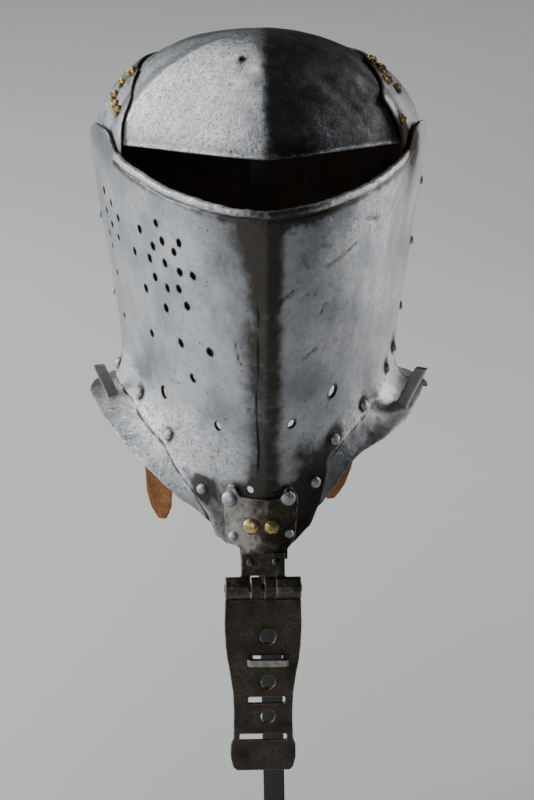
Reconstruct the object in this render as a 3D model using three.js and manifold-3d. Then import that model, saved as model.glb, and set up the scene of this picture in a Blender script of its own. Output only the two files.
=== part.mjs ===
// Frog-mouth jousting helm with its front hasp, on a plain display post.
// Millimetres, +Z up, the wearer faces -Y. Origin: middle of the post's foot, on the floor.
import * as THREE from "three";
import { mergeVertices } from "three/addons/utils/BufferGeometryUtils.js";
import Module from "manifold-3d";

const wasm = await Module();
wasm.setup();

// Walls, the clearance between neighbouring pieces, and that between plates that overlap.
const GAP = 0.3;
const LAP_GAP = 0.95;
const FACE_WALL = 2.6;
const BACK_WALL = 2.0;
const SKULL_WALL = 2.4;
const COLLAR_WALL = 2.0;
const BRACKET_WALL = 3.0;
const LEAF_WALL = 3.0;

// Where the helm sits over the foot: height of the sight's corners, and the post's place in the helm.
const SIGHT_HEIGHT = 645;
const POST_Y = 15;

// Plan of the wall at heights measured from the sight's corners:
// half width, y of the widest place, y of the keel, y of the back, and how far the keel stands proud.
const PLAN = [
  { z: 20, half: 129, wide: 70, keel: -151, back: 180, crease: 3 },
  { z: -15, half: 130.5, wide: 70, keel: -151, back: 180, crease: 4 },
  { z: -100, half: 119.5, wide: 68, keel: -142, back: 176, crease: 8 },
  { z: -150, half: 110.5, wide: 64, keel: -131, back: 167, crease: 8 },
  { z: -195, half: 100, wide: 60, keel: -121, back: 160, crease: 7 },
  { z: -240, half: 97, wide: 56, keel: -116, back: 156, crease: 3 },
  { z: -300, half: 96, wide: 55, keel: -114, back: 154, crease: 1 },
];
const PROW_POWER = 1.6;
const KEEL_SPREAD = 16;

// The neck flares outwards above this line, and the flange below it turns flatter.
// Turn is measured from the keel, in radians, towards the wearer's left.
const FLARE_LINE = [
  { turn: 0, z: -276, out: 9, curl: 0 },
  { turn: 0.27, z: -274, out: 11, curl: 0 },
  { turn: 0.37, z: -258, out: 12, curl: 0.02 },
  { turn: 0.47, z: -241, out: 13, curl: 0.05 },
  { turn: 0.71, z: -216, out: 15, curl: 0.1 },
  { turn: 1.05, z: -201, out: 16, curl: 0.13 },
  { turn: 1.5, z: -199, out: 16, curl: 0.13 },
  { turn: 2.2, z: -212, out: 16, curl: 0.13 },
  { turn: Math.PI, z: -232, out: 16, curl: 0.13 },
];
const FLARE_RISE = 22;
const FLANGE_DROP = 10.5;

// Lower edge of the face plate, which hangs lower on the wearer's right.
const FACE_EDGE = [
  { turn: -1.62, z: -199 },
  { turn: -1.23, z: -199 },
  { turn: -1.05, z: -200.5 },
  { turn: -0.71, z: -215 },
  { turn: -0.47, z: -241 },
  { turn: -0.37, z: -257 },
  { turn: -0.31, z: -271 },
  { turn: -0.25, z: -275 },
  { turn: 0, z: -277 },
  { turn: 0.12, z: -277 },
  { turn: 0.19, z: -272.5 },
  { turn: 0.3, z: -264 },
  { turn: 0.38, z: -246.5 },
  { turn: 0.43, z: -232.5 },
  { turn: 0.475, z: -219 },
  { turn: 0.59, z: -209.5 },
  { turn: 0.69, z: -203.7 },
  { turn: 0.88, z: -195.3 },
  { turn: 1.11, z: -188 },
  { turn: 1.24, z: -185 },
  { turn: 1.62, z: -188 },
];

// Top edge of the face plate: the lip of the sight, then the ear beside the skull.
const FACE_TOP = [
  { turn: 0, z: -4 },
  { turn: 0.9, z: -1 },
  { turn: 1.03, z: 0 },
  { turn: 1.09, z: 8 },
  { turn: 1.15, z: 11 },
  { turn: 1.3, z: 8 },
  { turn: 1.62, z: -4 },
];
const SIGHT_CORNER_TURN = 1.03;
const LIP_BEAD = 2.4;
const LIP_BEAD_HEIGHT = 7;

// Skull: apex, front edge over the sight, and how square each meridian is by turn.
const APEX_X = -6;
const APEX_Y = 5;
const APEX_Z = 88;
const SKULL_FRONT_Y = -85;
const SKULL_FRONT_Z = 15;
const SKULL_EDGE_POWER = 1.5;
const SKULL_CORNER_Z = 4;
const SKULL_SKIRT_Z = -8;
const SKIRT_TURN = 1.2;
const SKULL_RIDGE = 4;
const SKULL_RIDGE_SPREAD = 22;
const SKULL_RIDGE_RUN = 50;
const MERIDIAN_POWER = [
  { turn: 0, power: 1.6 },
  { turn: 0.8, power: 1.7 },
  { turn: 1.2, power: 1.72 },
  { turn: 1.9, power: 1.7 },
  { turn: Math.PI, power: 1.6 },
];

// The back plate runs forward over the ears as a band riveted to the skull.
const BAND_START_TURN = 1.0;
const BACK_LOW_TURN = 1.46;
const BAND_TOP = [
  { turn: 1.0, right: 0.95, left: 0.7 },
  { turn: 1.03, right: 0.85, left: 0.68 },
  { turn: 1.06, right: 0.73, left: 0.66 },
  { turn: 1.1, right: 0.685, left: 0.645 },
  { turn: 1.2, right: 0.64, left: 0.615 },
  { turn: 1.37, right: 0.555, left: 0.53 },
  { turn: 1.46, right: 0.55, left: 0.488 },
  { turn: 1.7, right: 0.53, left: 0.5 },
  { turn: Math.PI, right: 0.56, left: 0.56 },
];

// Collar flanges: tucked under the face plate, out to an edge measured from the flare line.
const COLLAR_TUCK = 12;
const COLLAR_EDGE = [
  { turn: 0.34, right: 0.1, left: 9.1 },
  { turn: 0.39, right: -3, left: 5 },
  { turn: 0.49, right: -8, left: 0.5 },
  { turn: 0.58, right: -9.6, left: 0 },
  { turn: 0.7, right: -10.3, left: -3 },
  { turn: 0.82, right: -11, left: -6.8 },
  { turn: 1.0, right: -11, left: -9 },
  { turn: 1.3, right: -10.7, left: -9.4 },
  { turn: 1.52, right: -10.7, left: -9.4 },
];

// Rivet sizes: head radius and head height.
const PLATE_RIVET = { head: 4.4, height: 3.4 };
const SMALL_RIVET = { head: 3.4, height: 2.4 };
const BIG_RIVET = { head: 6.0, height: 4.6 };
const BRASS_RIVET = { head: 6.2, height: 3.2 };
const ROSETTE = { head: 4.3, height: 4.0, petals: 6 };
const HEAD_LIFT = 0.5;

// Rivets along the face plate's lower edge and its side seams.
const COLLAR_RIVETS = {
  right: [
    { turn: 0.433, z: -239 },
    { turn: 0.698, z: -209 },
    { turn: 1.0, z: -193.5 },
    { turn: 1.5, z: -192 },
  ],
  left: [
    { turn: 0.365, z: -233 },
    { turn: 0.53, z: -206 },
    { turn: 0.786, z: -192.5 },
    { turn: 1.1, z: -181 },
    { turn: 1.264, z: -172.5 },
  ],
};
const SEAM_TURN_RIVETS = 1.54;
const SEAM_RIVETS = { right: [-71, -134], left: [-46.5, -95.5, -148.5] };
// Brass rosettes on the band: turn, and distance along the skull's meridian.
const ROSETTES = {
  right: [
    { turn: 1.156, along: 0.765 },
    { turn: 1.25, along: 0.745 },
    { turn: 1.35, along: 0.72 },
    { turn: 1.39, along: 0.65 },
    { turn: 1.4, along: 0.585 },
  ],
  left: [
    { turn: 1.06, along: 0.84 },
    { turn: 1.328, along: 0.685 },
    { turn: 1.304, along: 0.622 },
    { turn: 1.394, along: 0.577 },
    { turn: 1.46, along: 0.525 },
  ],
};

// Holes through the face plate: breaths in the wearer's right cheek, then the larger single ones.
const BREATHS = [
  { turn: -1.225, z: -41.5, r: 2.9 },
  { turn: -1.122, z: -46.4, r: 2.6 },
  { turn: -1.221, z: -57.4, r: 2.4 },
  { turn: -1.044, z: -53.9, r: 2.9 },
  { turn: -1.159, z: -65.4, r: 2.4 },
  { turn: -1.243, z: -77.0, r: 2.3 },
  { turn: -1.086, z: -71.8, r: 2.5 },
  { turn: -1.215, z: -86.0, r: 2.3 },
  { turn: -1.212, z: -107.5, r: 2.1 },
  { turn: -1.217, z: -142.8, r: 2.1 },
  { turn: -0.81, z: -48.1, r: 3.2 },
  { turn: -0.67, z: -34.9, r: 2.9 },
  { turn: -0.636, z: -47.2, r: 3.2 },
  { turn: -0.711, z: -55.6, r: 3.2 },
  { turn: -0.888, z: -70.8, r: 3.2 },
  { turn: -0.517, z: -42.3, r: 2.9 },
  { turn: -0.556, z: -51.5, r: 2.9 },
  { turn: -0.749, z: -67.6, r: 3.2 },
  { turn: -0.629, z: -64.4, r: 3.2 },
  { turn: -0.526, z: -65.9, r: 3.2 },
  { turn: -0.44, z: -64.8, r: 3.0 },
  { turn: -0.724, z: -81.4, r: 3.2 },
  { turn: -0.822, z: -96.6, r: 3.2 },
  { turn: -0.634, z: -84.9, r: 3.2 },
  { turn: -0.544, z: -80.5, r: 3.2 },
  { turn: -0.66, z: -102.7, r: 3.2 },
  { turn: -0.497, z: -91.9, r: 3.2 },
  { turn: -0.825, z: -133.9, r: 3.0 },
  { turn: -0.57, z: -126.4, r: 3.2 },
  { turn: -0.363, z: -123.7, r: 3.2 },
  { turn: -0.507, z: -152.4, r: 3.2 },
];
const LACING_HOLES = [
  { turn: -0.779, z: -179.9, r: 5.2 },
  { turn: -0.355, z: -186.3, r: 3.7 },
  { turn: 0.488, z: -163.8, r: 5.2 },
  { turn: 0.185, z: -179.5, r: 3.5 },
  { turn: -0.12, z: -232.2, r: 3.0 },
  { turn: 0.062, z: -231.5, r: 2.7 },
];
const SKULL_HOLE = { turn: -0.217, along: 0.348, r: 2 };

// Hinge bracket outline by height, measured from the sight's corners, with its middles and half widths.
const BRACKET_TOP_NOTCH = { middle: -4, half: 19, floor: 10, drop: 8 };
const BRACKET_OUTLINE = [
  { z: -230, middle: -4, half: 21.5 },
  { z: -240, middle: -4, half: 26.5 },
  { z: -252, middle: -4, half: 26 },
  { z: -263, middle: -4, half: 25 },
  { z: -270, middle: -4, half: 24 },
  { z: -274, middle: -3, half: 21 },
  { z: -277, middle: -2, half: 17 },
  { z: -284, middle: -2, half: 17 },
];
const LEAF_TOP_Z = -277;
const LEAF_HALF = 16.5;
const AXIS_Z = -301;
const HINGE_X = -3;
const KNUCKLE_R = 8.4;
const KNUCKLE_HALF = 28.5;
const KNUCKLE_INNER = 9.6;
const HASP_KNUCKLE = { from: 1.2, to: 9.2 };
const PIN_R = 3.2;

// Hasp outline below the hinge axis, with half widths, then its round holes and cross slots.
const HASP_WALL = 3.4;
const HASP_OUTLINE = [
  { drop: 9.2, half: 28.5 },
  { drop: 30, half: 29 },
  { drop: 47, half: 28.4 },
  { drop: 58, half: 27.2 },
  { drop: 70, half: 25.2 },
  { drop: 87, half: 22.9 },
  { drop: 105, half: 22.3 },
  { drop: 126, half: 22.8 },
  { drop: 131, half: 24.8 },
  { drop: 142, half: 25 },
  { drop: 150, half: 23 },
  { drop: 153, half: 20 },
];
const HASP_HOLES = [
  { x: 3.7, drop: 40, r: 6 },
  { x: 3.7, drop: 78, r: 5.5 },
  { x: 3.5, drop: 107, r: 5.5 },
];
const HASP_SLOTS = [
  { x: 3.5, drop: 59, half: 16, height: 7 },
  { x: 2.6, drop: 93, half: 14, height: 5.5 },
  { x: 0, drop: 124.5, half: 18, height: 5.5 },
];
const STAPLE = { bar: 4.5, tall: 5.5, standOff: 1.5, foot: 3 };

// Strap lugs on the flange, and the remains of two leather straps inside the neck.
const LUG = { below: 6, width: 5, thick: 9.5, tail: 5 };
const LUG_STAND = { right: { turn: 1.26, rise: 25, lean: 0.42 }, left: { turn: 1.09, rise: 33, lean: 0.5 } };
const STRAP = { width: 21, thick: 3, turn: 1.1, seat: 0.6, above: 16, step: 5, twist: 0.9 };
const STRAP_HANG = { right: { length: 139, lean: 0.08 }, left: { length: 139, lean: 0.26 } };

// Display post.
const FOOT_R = 110;
const FOOT_THICK = 10;
const POST_SIDE = 17;
const POST_LEAN = 0.019;
const PAD = { width: 44, depth: 64, thick: 12 };

// Finishes.
const STEEL = new THREE.MeshStandardMaterial({ color: 0xb4b8bd, roughness: 0.32, metalness: 1 });
const IRON = new THREE.MeshStandardMaterial({ color: 0x5d564d, roughness: 0.5, metalness: 1 });
const BRASS = new THREE.MeshStandardMaterial({ color: 0xb8903f, roughness: 0.35, metalness: 1 });
const LEATHER = new THREE.MeshStandardMaterial({ color: 0x8a5229, roughness: 0.75, metalness: 0 });
const BLACK = new THREE.MeshStandardMaterial({ color: 0x1d1c20, roughness: 0.5, metalness: 0.3 });

// A column of a table at a place along its key, by straight lines between the rows.
function lerpRows(rows, key, column, at) {
  const rising = rows[0][key] < rows[rows.length - 1][key];
  const sorted = rising ? rows : [...rows].reverse();
  if (at <= sorted[0][key]) return sorted[0][column];
  for (let i = 1; i < sorted.length; i++) {
    const [low, high] = [sorted[i - 1], sorted[i]];
    if (at <= high[key]) {
      const share = (at - low[key]) / (high[key] - low[key]);
      return low[column] + (high[column] - low[column]) * share;
    }
  }
  return sorted[sorted.length - 1][column];
}

// The same, by a smooth curve through the rows.
function smoothRows(rows, key, column, at) {
  const sorted = rows[0][key] < rows[rows.length - 1][key] ? rows : [...rows].reverse();
  const last = sorted.length - 1;
  const place = Math.min(Math.max(at, sorted[0][key]), sorted[last][key]);
  let i = 0;
  while (i < last - 1 && place > sorted[i + 1][key]) i++;
  const slope = (k) => {
    const [low, high] = [sorted[Math.max(k - 1, 0)], sorted[Math.min(k + 1, last)]];
    return (high[column] - low[column]) / (high[key] - low[key]);
  };
  const span = sorted[i + 1][key] - sorted[i][key];
  const s = (place - sorted[i][key]) / span;
  const [p, q] = [sorted[i][column], sorted[i + 1][column]];
  const [m, n] = [slope(i) * span, slope(i + 1) * span];
  return (
    p * (2 * s ** 3 - 3 * s ** 2 + 1) +
    m * (s ** 3 - 2 * s ** 2 + s) +
    q * (3 * s ** 2 - 2 * s ** 3) +
    n * (s ** 3 - s ** 2)
  );
}

const smoothStep = (t) => THREE.MathUtils.smoothstep(t, 0, 1);
const flareLine = (turn) => smoothRows(FLARE_LINE, "turn", "z", Math.abs(turn));
const faceEdge = (turn) => lerpRows(FACE_EDGE, "turn", "z", turn);
const faceTop = (turn) => lerpRows(FACE_TOP, "turn", "z", Math.abs(turn));

// The wall's plan at one height, before the neck's flare: a keeled prow and a round back.
function planPoint(turn, z) {
  const at = (column) => smoothRows(PLAN, "z", column, z);
  const around = Math.abs(turn);
  const [half, wide, crease] = [at("half"), at("wide"), at("crease")];
  const x = half * Math.sin(around);
  const ahead = Math.cos(around);
  const prow = (wide - at("keel") - crease) * Math.max(ahead, 0) ** PROW_POWER;
  const rear = (at("back") - wide) * Math.max(-ahead, 0);
  const keel = crease * Math.exp(-x / KEEL_SPREAD);
  return [Math.sign(turn) * x, wide - prow - keel + rear];
}

// How far the wall stands out from its plan: the neck's flare, and the flange below the edge.
function flareOut(turn, above) {
  const out = lerpRows(FLARE_LINE, "turn", "out", Math.abs(turn));
  if (above >= 0) return out * Math.exp(-above / FLARE_RISE);
  const curl = lerpRows(FLARE_LINE, "turn", "curl", Math.abs(turn));
  return out * (1 - above / FLARE_RISE) + curl * above * above;
}

// Outer surface of the face plate, carried on below its edge as the flange.
function wallPoint(turn, z) {
  const step = 0.002;
  const [x, y] = planPoint(turn, z);
  const [x0, y0] = planPoint(turn - step, z);
  const [x1, y1] = planPoint(turn + step, z);
  const outward = new THREE.Vector2(y1 - y0, x0 - x1).normalize();
  if (outward.x * x + outward.y * (y - POST_Y) < 0) outward.negate();
  const out = flareOut(turn, z - flareLine(turn));
  return new THREE.Vector3(x + outward.x * out, y + outward.y * out, z);
}

// The rolled lip along the sight stands proud of the wall and dies out at the corners.
function lipBulge(turn, z) {
  const below = (faceTop(turn) - z - LIP_BEAD_HEIGHT * 0.6) / LIP_BEAD_HEIGHT;
  const fade = (Math.abs(turn) - SIGHT_CORNER_TURN + 0.13) / 0.13;
  return LIP_BEAD * (1 - smoothStep(below)) * (1 - smoothStep(fade));
}

// Lower border of the skull: its front edge over the sight, then a skirt inside the wall.
const SKULL_INSET = FACE_WALL + LAP_GAP + BACK_WALL + LAP_GAP;
function skullBorder(turn) {
  const around = Math.abs(turn);
  const ring = (t) => {
    const back = (Math.abs(t) - SIGHT_CORNER_TURN) / (SKIRT_TURN - SIGHT_CORNER_TURN);
    const z = SKULL_CORNER_Z + (SKULL_SKIRT_Z - SKULL_CORNER_Z) * smoothStep(back);
    const { point, normal } = surfaceFrame(wallPoint, t, SKULL_SKIRT_Z);
    return point.addScaledVector(normal, -SKULL_INSET).setZ(z);
  };
  const corner = ring(SIGHT_CORNER_TURN);
  const side = turn < 0 ? -1 : 1;
  if (around >= SIGHT_CORNER_TURN) return ring(turn);
  const share = Math.sin(around) / Math.sin(SIGHT_CORNER_TURN);
  const y = SKULL_FRONT_Y + (corner.y - SKULL_FRONT_Y) * share ** SKULL_EDGE_POWER;
  const z = SKULL_FRONT_Z + (SKULL_CORNER_Z - SKULL_FRONT_Z) * share ** 2;
  return new THREE.Vector3(side * corner.x * share, y, z);
}

// Outer surface of the skull: along each meridian from the apex, 0, to the border, 1.
function skullPoint(turn, along) {
  const border = skullBorder(turn);
  const power = 2 / smoothRows(MERIDIAN_POWER, "turn", "power", Math.abs(turn));
  const out = Math.sin((along * Math.PI) / 2) ** power;
  const up = Math.max(Math.cos((along * Math.PI) / 2), 0) ** power;
  const x = APEX_X + (border.x - APEX_X) * out;
  const y = APEX_Y + (border.y - APEX_Y) * out;
  const ahead = smoothStep((APEX_Y - y) / SKULL_RIDGE_RUN) * Math.sqrt(up);
  const ridge = SKULL_RIDGE * Math.exp(-Math.abs(x) / SKULL_RIDGE_SPREAD) * ahead;
  return new THREE.Vector3(x, y, border.z + (APEX_Z - border.z) * up + ridge);
}

// A point of a surface and the way out of the helm there.
function surfaceFrame(surface, u, v, stepV = 0.2) {
  const stepU = 0.004;
  const point = surface(u, v);
  const alongU = surface(u + stepU, v).sub(surface(u - stepU, v));
  const alongV = surface(u, v + stepV).sub(surface(u, v - stepV));
  const normal = alongU.cross(alongV).normalize();
  const outward = new THREE.Vector3(point.x, point.y - POST_Y, 0);
  if (normal.dot(outward) < 0) normal.negate();
  return { point, normal };
}

function skullFrame(turn, along) {
  if (along < 0.02) {
    return { point: skullPoint(turn, 0), normal: new THREE.Vector3(0, 0, 1) };
  }
  const place = Math.min(along, 0.985);
  const frame = surfaceFrame(skullPoint, turn, place, 0.01);
  if (frame.normal.z < -0.3) frame.normal.negate();
  return { point: skullPoint(turn, along), normal: frame.normal };
}

// A closed plate from rows of {point, normal}: its outside and inside lie along the normals.
function plateGeometry(rows, outside, inside, { closed = false, pole = false } = {}) {
  const [count, width] = [rows.length, rows[0].length];
  const positions = [];
  for (const offset of [outside, inside]) {
    for (const row of rows) {
      for (const { point, normal, bulge = 0 } of row) {
        const out = offset === outside ? offset + bulge : offset;
        positions.push(...point.clone().addScaledVector(normal, out).toArray());
      }
    }
  }
  const [span, half] = [closed ? width : width - 1, count * width];
  const at = (side, r, c) => side * half + r * width + (c % width);
  const triangles = [];
  const quad = (a, b, c, d) => triangles.push(a, b, c, a, c, d);
  for (let r = 0; r < count - 1; r++) {
    for (let c = 0; c < span; c++) {
      quad(at(0, r, c), at(0, r, c + 1), at(0, r + 1, c + 1), at(0, r + 1, c));
      quad(at(1, r, c), at(1, r + 1, c), at(1, r + 1, c + 1), at(1, r, c + 1));
    }
    if (!closed) {
      quad(at(0, r, 0), at(0, r + 1, 0), at(1, r + 1, 0), at(1, r, 0));
      quad(at(0, r, span), at(1, r, span), at(1, r + 1, span), at(0, r + 1, span));
    }
  }
  for (let c = 0; c < span; c++) {
    if (!pole) quad(at(0, 0, c), at(1, 0, c), at(1, 0, c + 1), at(0, 0, c + 1));
    const last = count - 1;
    quad(at(0, last, c), at(0, last, c + 1), at(1, last, c + 1), at(1, last, c));
  }
  const geometry = new THREE.BufferGeometry();
  geometry.setAttribute("position", new THREE.Float32BufferAttribute(positions, 3));
  geometry.setIndex(triangles);
  return geometry;
}

// Solids for cutting and joining, and back to geometry.
function solidOf(geometry, matrix) {
  const bare = geometry.clone();
  bare.deleteAttribute("normal");
  bare.deleteAttribute("uv");
  if (matrix) bare.applyMatrix4(matrix);
  const merged = mergeVertices(bare, 1e-4);
  const kept = [];
  const index = merged.index.array;
  for (let i = 0; i < index.length; i += 3) {
    const [a, b, c] = [index[i], index[i + 1], index[i + 2]];
    if (a !== b && b !== c && c !== a) kept.push(a, b, c);
  }
  const mesh = new wasm.Mesh({
    numProp: 3,
    vertProperties: new Float32Array(merged.attributes.position.array),
    triVerts: new Uint32Array(kept),
  });
  const made = new wasm.Manifold(mesh);
  if (made.volume() > 0) return made;
  for (let i = 0; i < kept.length; i += 3) [kept[i + 1], kept[i + 2]] = [kept[i + 2], kept[i + 1]];
  return new wasm.Manifold(
    new wasm.Mesh({
      numProp: 3,
      vertProperties: new Float32Array(merged.attributes.position.array),
      triVerts: new Uint32Array(kept),
    }),
  );
}

function geometryOf(solid) {
  const mesh = solid.getMesh();
  const geometry = new THREE.BufferGeometry();
  geometry.setAttribute("position", new THREE.Float32BufferAttribute(mesh.vertProperties, 3));
  geometry.setIndex([...mesh.triVerts]);
  return geometry;
}

const cutAll = (solid, cutters) => cutters.reduce((left, cutter) => left.subtract(cutter), solid);
const joinAll = (solids) => solids.reduce((whole, solid) => whole.add(solid));

const UP = new THREE.Vector3(0, 0, 1);
function placeOn(frame, lift = 0) {
  const turn = new THREE.Quaternion().setFromUnitVectors(UP, frame.normal);
  const place = frame.point.clone().addScaledVector(frame.normal, lift);
  return new THREE.Matrix4().compose(place, turn, new THREE.Vector3(1, 1, 1));
}

// A straight punch through a plate, along the way out at a place on its surface.
const PUNCH_LENGTH = 40;
function punch(frame, radius, sides = 8) {
  const rod = new THREE.CylinderGeometry(radius, radius, PUNCH_LENGTH, sides).rotateX(Math.PI / 2);
  return solidOf(rod, placeOn(frame));
}

const block = (width, depth, height) => new THREE.BoxGeometry(width, depth, height);
const moveTo = (x, y, z) => new THREE.Matrix4().makeTranslation(x, y, z);
const spread = (from, to, count) =>
  Array.from({ length: count + 1 }, (_, i) => from + ((to - from) * i) / count);

// Rivet and rosette heads, standing on +Z.
function rivetGeometry({ head, height }, sides = 8) {
  const profile = [
    [0, 0],
    [head, 0],
    [head * 0.78, height * 0.7],
    [0, height],
  ].map(([r, z]) => new THREE.Vector2(r, z));
  return new THREE.LatheGeometry(profile, sides).rotateX(Math.PI / 2);
}

function rosetteGeometry(size) {
  const geometry = rivetGeometry(size, size.petals * 2);
  const positions = geometry.getAttribute("position");
  for (let i = 0; i < positions.count; i++) {
    const [x, y, z] = [positions.getX(i), positions.getY(i), positions.getZ(i)];
    const radius = Math.hypot(x, y);
    if (z < 0 || radius < size.head * 0.7) continue;
    const petal = 1 - 0.14 * (1 - Math.cos(Math.atan2(y, x) * size.petals)) / 2;
    positions.setXY(i, x * petal, y * petal);
  }
  return geometry;
}

// Where every rivet goes: name, frame, size and finish.
const sideOf = { right: -1, left: 1 };
function wallFrame(turn, z) {
  return surfaceFrame(wallPoint, turn, z);
}
const plateRivets = [];
for (const [side, sign] of Object.entries(sideOf)) {
  COLLAR_RIVETS[side].forEach(({ turn, z }, i) => {
    const frame = wallFrame(sign * turn, z);
    plateRivets.push({ name: `collar_rivet_${side}_${i + 1}`, frame, size: PLATE_RIVET });
  });
  SEAM_RIVETS[side].forEach((z, i) => {
    const frame = wallFrame(sign * SEAM_TURN_RIVETS, z);
    plateRivets.push({ name: `seam_rivet_${side}_${i + 1}`, frame, size: SMALL_RIVET });
  });
}
const bandRivets = [];
const BAND_LIFT = LAP_GAP + BACK_WALL;
for (const [side, sign] of Object.entries(sideOf)) {
  ROSETTES[side].forEach(({ turn, along }, i) => {
    const { point, normal } = skullFrame(sign * turn, along);
    const frame = { point: point.clone().addScaledVector(normal, BAND_LIFT), normal };
    bandRivets.push({ name: `rosette_${side}_${i + 1}`, frame, size: ROSETTE });
  });
}

// The front of the wall as a depth over width and height, where the bracket lies.
function frontFrame(x, z) {
  let [low, high] = [0, 0.6];
  for (let i = 0; i < 40; i++) {
    const middle = (low + high) / 2;
    if (wallPoint(middle, z).x < Math.abs(x)) low = middle;
    else high = middle;
  }
  return wallFrame(Math.sign(x) * low, z);
}
const bracketRivets = [
  { name: "bracket_rivet_upper_right", x: -25, z: -241, size: BIG_RIVET, finish: STEEL },
  { name: "bracket_rivet_upper_left", x: 14.5, z: -238, size: BIG_RIVET, finish: STEEL },
  { name: "bracket_rivet_lower_right", x: -23, z: -269, size: SMALL_RIVET, finish: STEEL },
  { name: "bracket_rivet_lower_left", x: 15.5, z: -266, size: SMALL_RIVET, finish: STEEL },
  { name: "brass_rivet_right", x: -10.2, z: -259.5, size: BRASS_RIVET, finish: BRASS },
  { name: "brass_rivet_left", x: 3.4, z: -259.5, size: BRASS_RIVET, finish: BRASS },
].map((rivet) => ({ ...rivet, frame: frontFrame(rivet.x, rivet.z) }));

// Face plate: prow, cheeks and ears, with the breaths through it.
const faceRows = (() => {
  const right = [1.62, 1.46, 1.3, 1.15, 1.09, 1.03, 0.93, 0.82, 0.71, 0.59, 0.47, 0.37, 0.31, 0.25];
  const middle = [-0.17, -0.1, -0.05, 0, 0.05, 0.12, 0.19];
  const left = [0.3, 0.38, 0.43, 0.475, 0.59, 0.69, 0.79, 0.88, 0.96, 1.03, 1.09, 1.15, 1.3, 1.46, 1.62];
  const turns = [...right.map((turn) => -turn), ...middle, ...left];
  const shares = [0, 0.06, 0.13, 0.22, 0.34, 0.48, 0.64, 0.8, 0.92, 0.97, 1];
  return shares.map((share) =>
    turns.map((turn) => {
      const [low, high] = [faceEdge(turn), faceTop(turn)];
      const z = low + (high - low) * share;
      return { ...wallFrame(turn, z), bulge: lipBulge(turn, z) };
    }),
  );
})();
function facePlate() {
  const plate = solidOf(plateGeometry(faceRows, 0, -FACE_WALL));
  const holes = [...BREATHS, ...LACING_HOLES].map(({ turn, z, r }) => punch(wallFrame(turn, z), r));
  return cutAll(plate, holes);
}

// Front edge of the back plate below the band, where the collars end.
const SEAM_Y = planPoint(BACK_LOW_TURN, flareLine(BACK_LOW_TURN))[1];

// Back plate: from seam to seam round the back, with the band over the ears.
const BAND_TURNS = [BAND_START_TURN, 1.03, 1.06, 1.1, 1.2, 1.3, 1.38, BACK_LOW_TURN];
const BACK_TURNS = [...BAND_TURNS, ...spread(1.57, Math.PI, 10)];
const backRows = (() => {
  const signed = [...BACK_TURNS, ...BACK_TURNS.slice(0, -1).map((turn) => -turn).reverse()];
  const inward = -(FACE_WALL + LAP_GAP);
  const wallRows = [0, 0.05, 0.11, 0.2, 0.32, 0.5, 0.72, 0.95].map((share) =>
    signed.map((turn) => {
      const low = flareLine(turn) - FLANGE_DROP;
      const { point, normal } = wallFrame(turn, low + (SKULL_SKIRT_Z - low) * share);
      return { point: point.addScaledVector(normal, inward), normal };
    }),
  );
  const bandRows = [0, 0.2, 0.45, 0.7, 1].map((share) =>
    signed.map((turn) => {
      const side = turn < 0 ? "right" : "left";
      const top = lerpRows(BAND_TOP, "turn", side, Math.abs(turn));
      const { point, normal } = skullFrame(turn, 1 + (top - 1) * share);
      return { point: point.addScaledVector(normal, BAND_LIFT), normal };
    }),
  );
  return [...wallRows, ...bandRows];
})();
const BAND_LOW_Z = SKULL_SKIRT_Z - 5;
function backPlate() {
  const plate = solidOf(plateGeometry(backRows, 0, -BACK_WALL));
  const under = solidOf(block(400, 200, 300), moveTo(0, SEAM_Y - 100, BAND_LOW_Z - 150));
  return plate.subtract(under);
}

// Skull plate: a low ridged dome over the sight, with its skirt inside the band.
const SKULL_TURNS = (() => {
  const front = [0, 0.08, 0.2, 0.34, 0.5, 0.66, 0.82];
  const turns = [...front, ...BACK_TURNS];
  return [...turns.slice(1).map((t) => -t).reverse().slice(1), ...turns];
})();
const skullRows = () =>
  [0, 0.12, 0.26, 0.4, 0.54, 0.68, 0.8, 0.9, 1].map((along) =>
    SKULL_TURNS.map((turn) => skullFrame(turn, along)),
  );
function skullPlate() {
  const shell = plateGeometry(skullRows(), 0, -SKULL_WALL, { closed: true, pole: true });
  const crestHole = punch(skullFrame(SKULL_HOLE.turn, SKULL_HOLE.along), SKULL_HOLE.r);
  return solidOf(shell).subtract(crestHole);
}

// Space under the skull's inner face, which the post's pad fits.
function skullCore() {
  const rows = skullRows();
  const top = rows.map((row) =>
    row.map(({ point, normal }) => ({
      point: point.clone().addScaledVector(normal, -(SKULL_WALL + GAP)),
      normal: new THREE.Vector3(0, 0, 1),
    })),
  );
  return solidOf(plateGeometry(top, 0, -60, { closed: true, pole: true }));
}

// Collar: a flange tucked under the face plate's lower edge on one side.
function collar(side) {
  const sign = sideOf[side];
  const turns = [0.34, 0.39, 0.44, 0.49, 0.58, 0.7, 0.82, 0.91, 1.0, 1.1, 1.2, 1.3, 1.4, 1.46, 1.52];
  const inward = -(FACE_WALL + LAP_GAP);
  const rows = [0, 0.25, 0.45, 0.62, 0.75, 0.88, 1].map((share) =>
    turns.map((turn) => {
      const top = faceEdge(sign * turn) + COLLAR_TUCK;
      const low = flareLine(turn) + lerpRows(COLLAR_EDGE, "turn", side, turn);
      const { point, normal } = wallFrame(sign * turn, top + (low - top) * share);
      return { point: point.addScaledVector(normal, inward), normal };
    }),
  );
  const plate = solidOf(plateGeometry(rows, 0, -COLLAR_WALL));
  const behind = solidOf(block(400, 200, 400), moveTo(0, SEAM_Y - GAP + 100, -200));
  return cutAll(plate, [behind, solidOf(lugGeometry(side, GAP), lugPlace(side))]);
}

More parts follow.
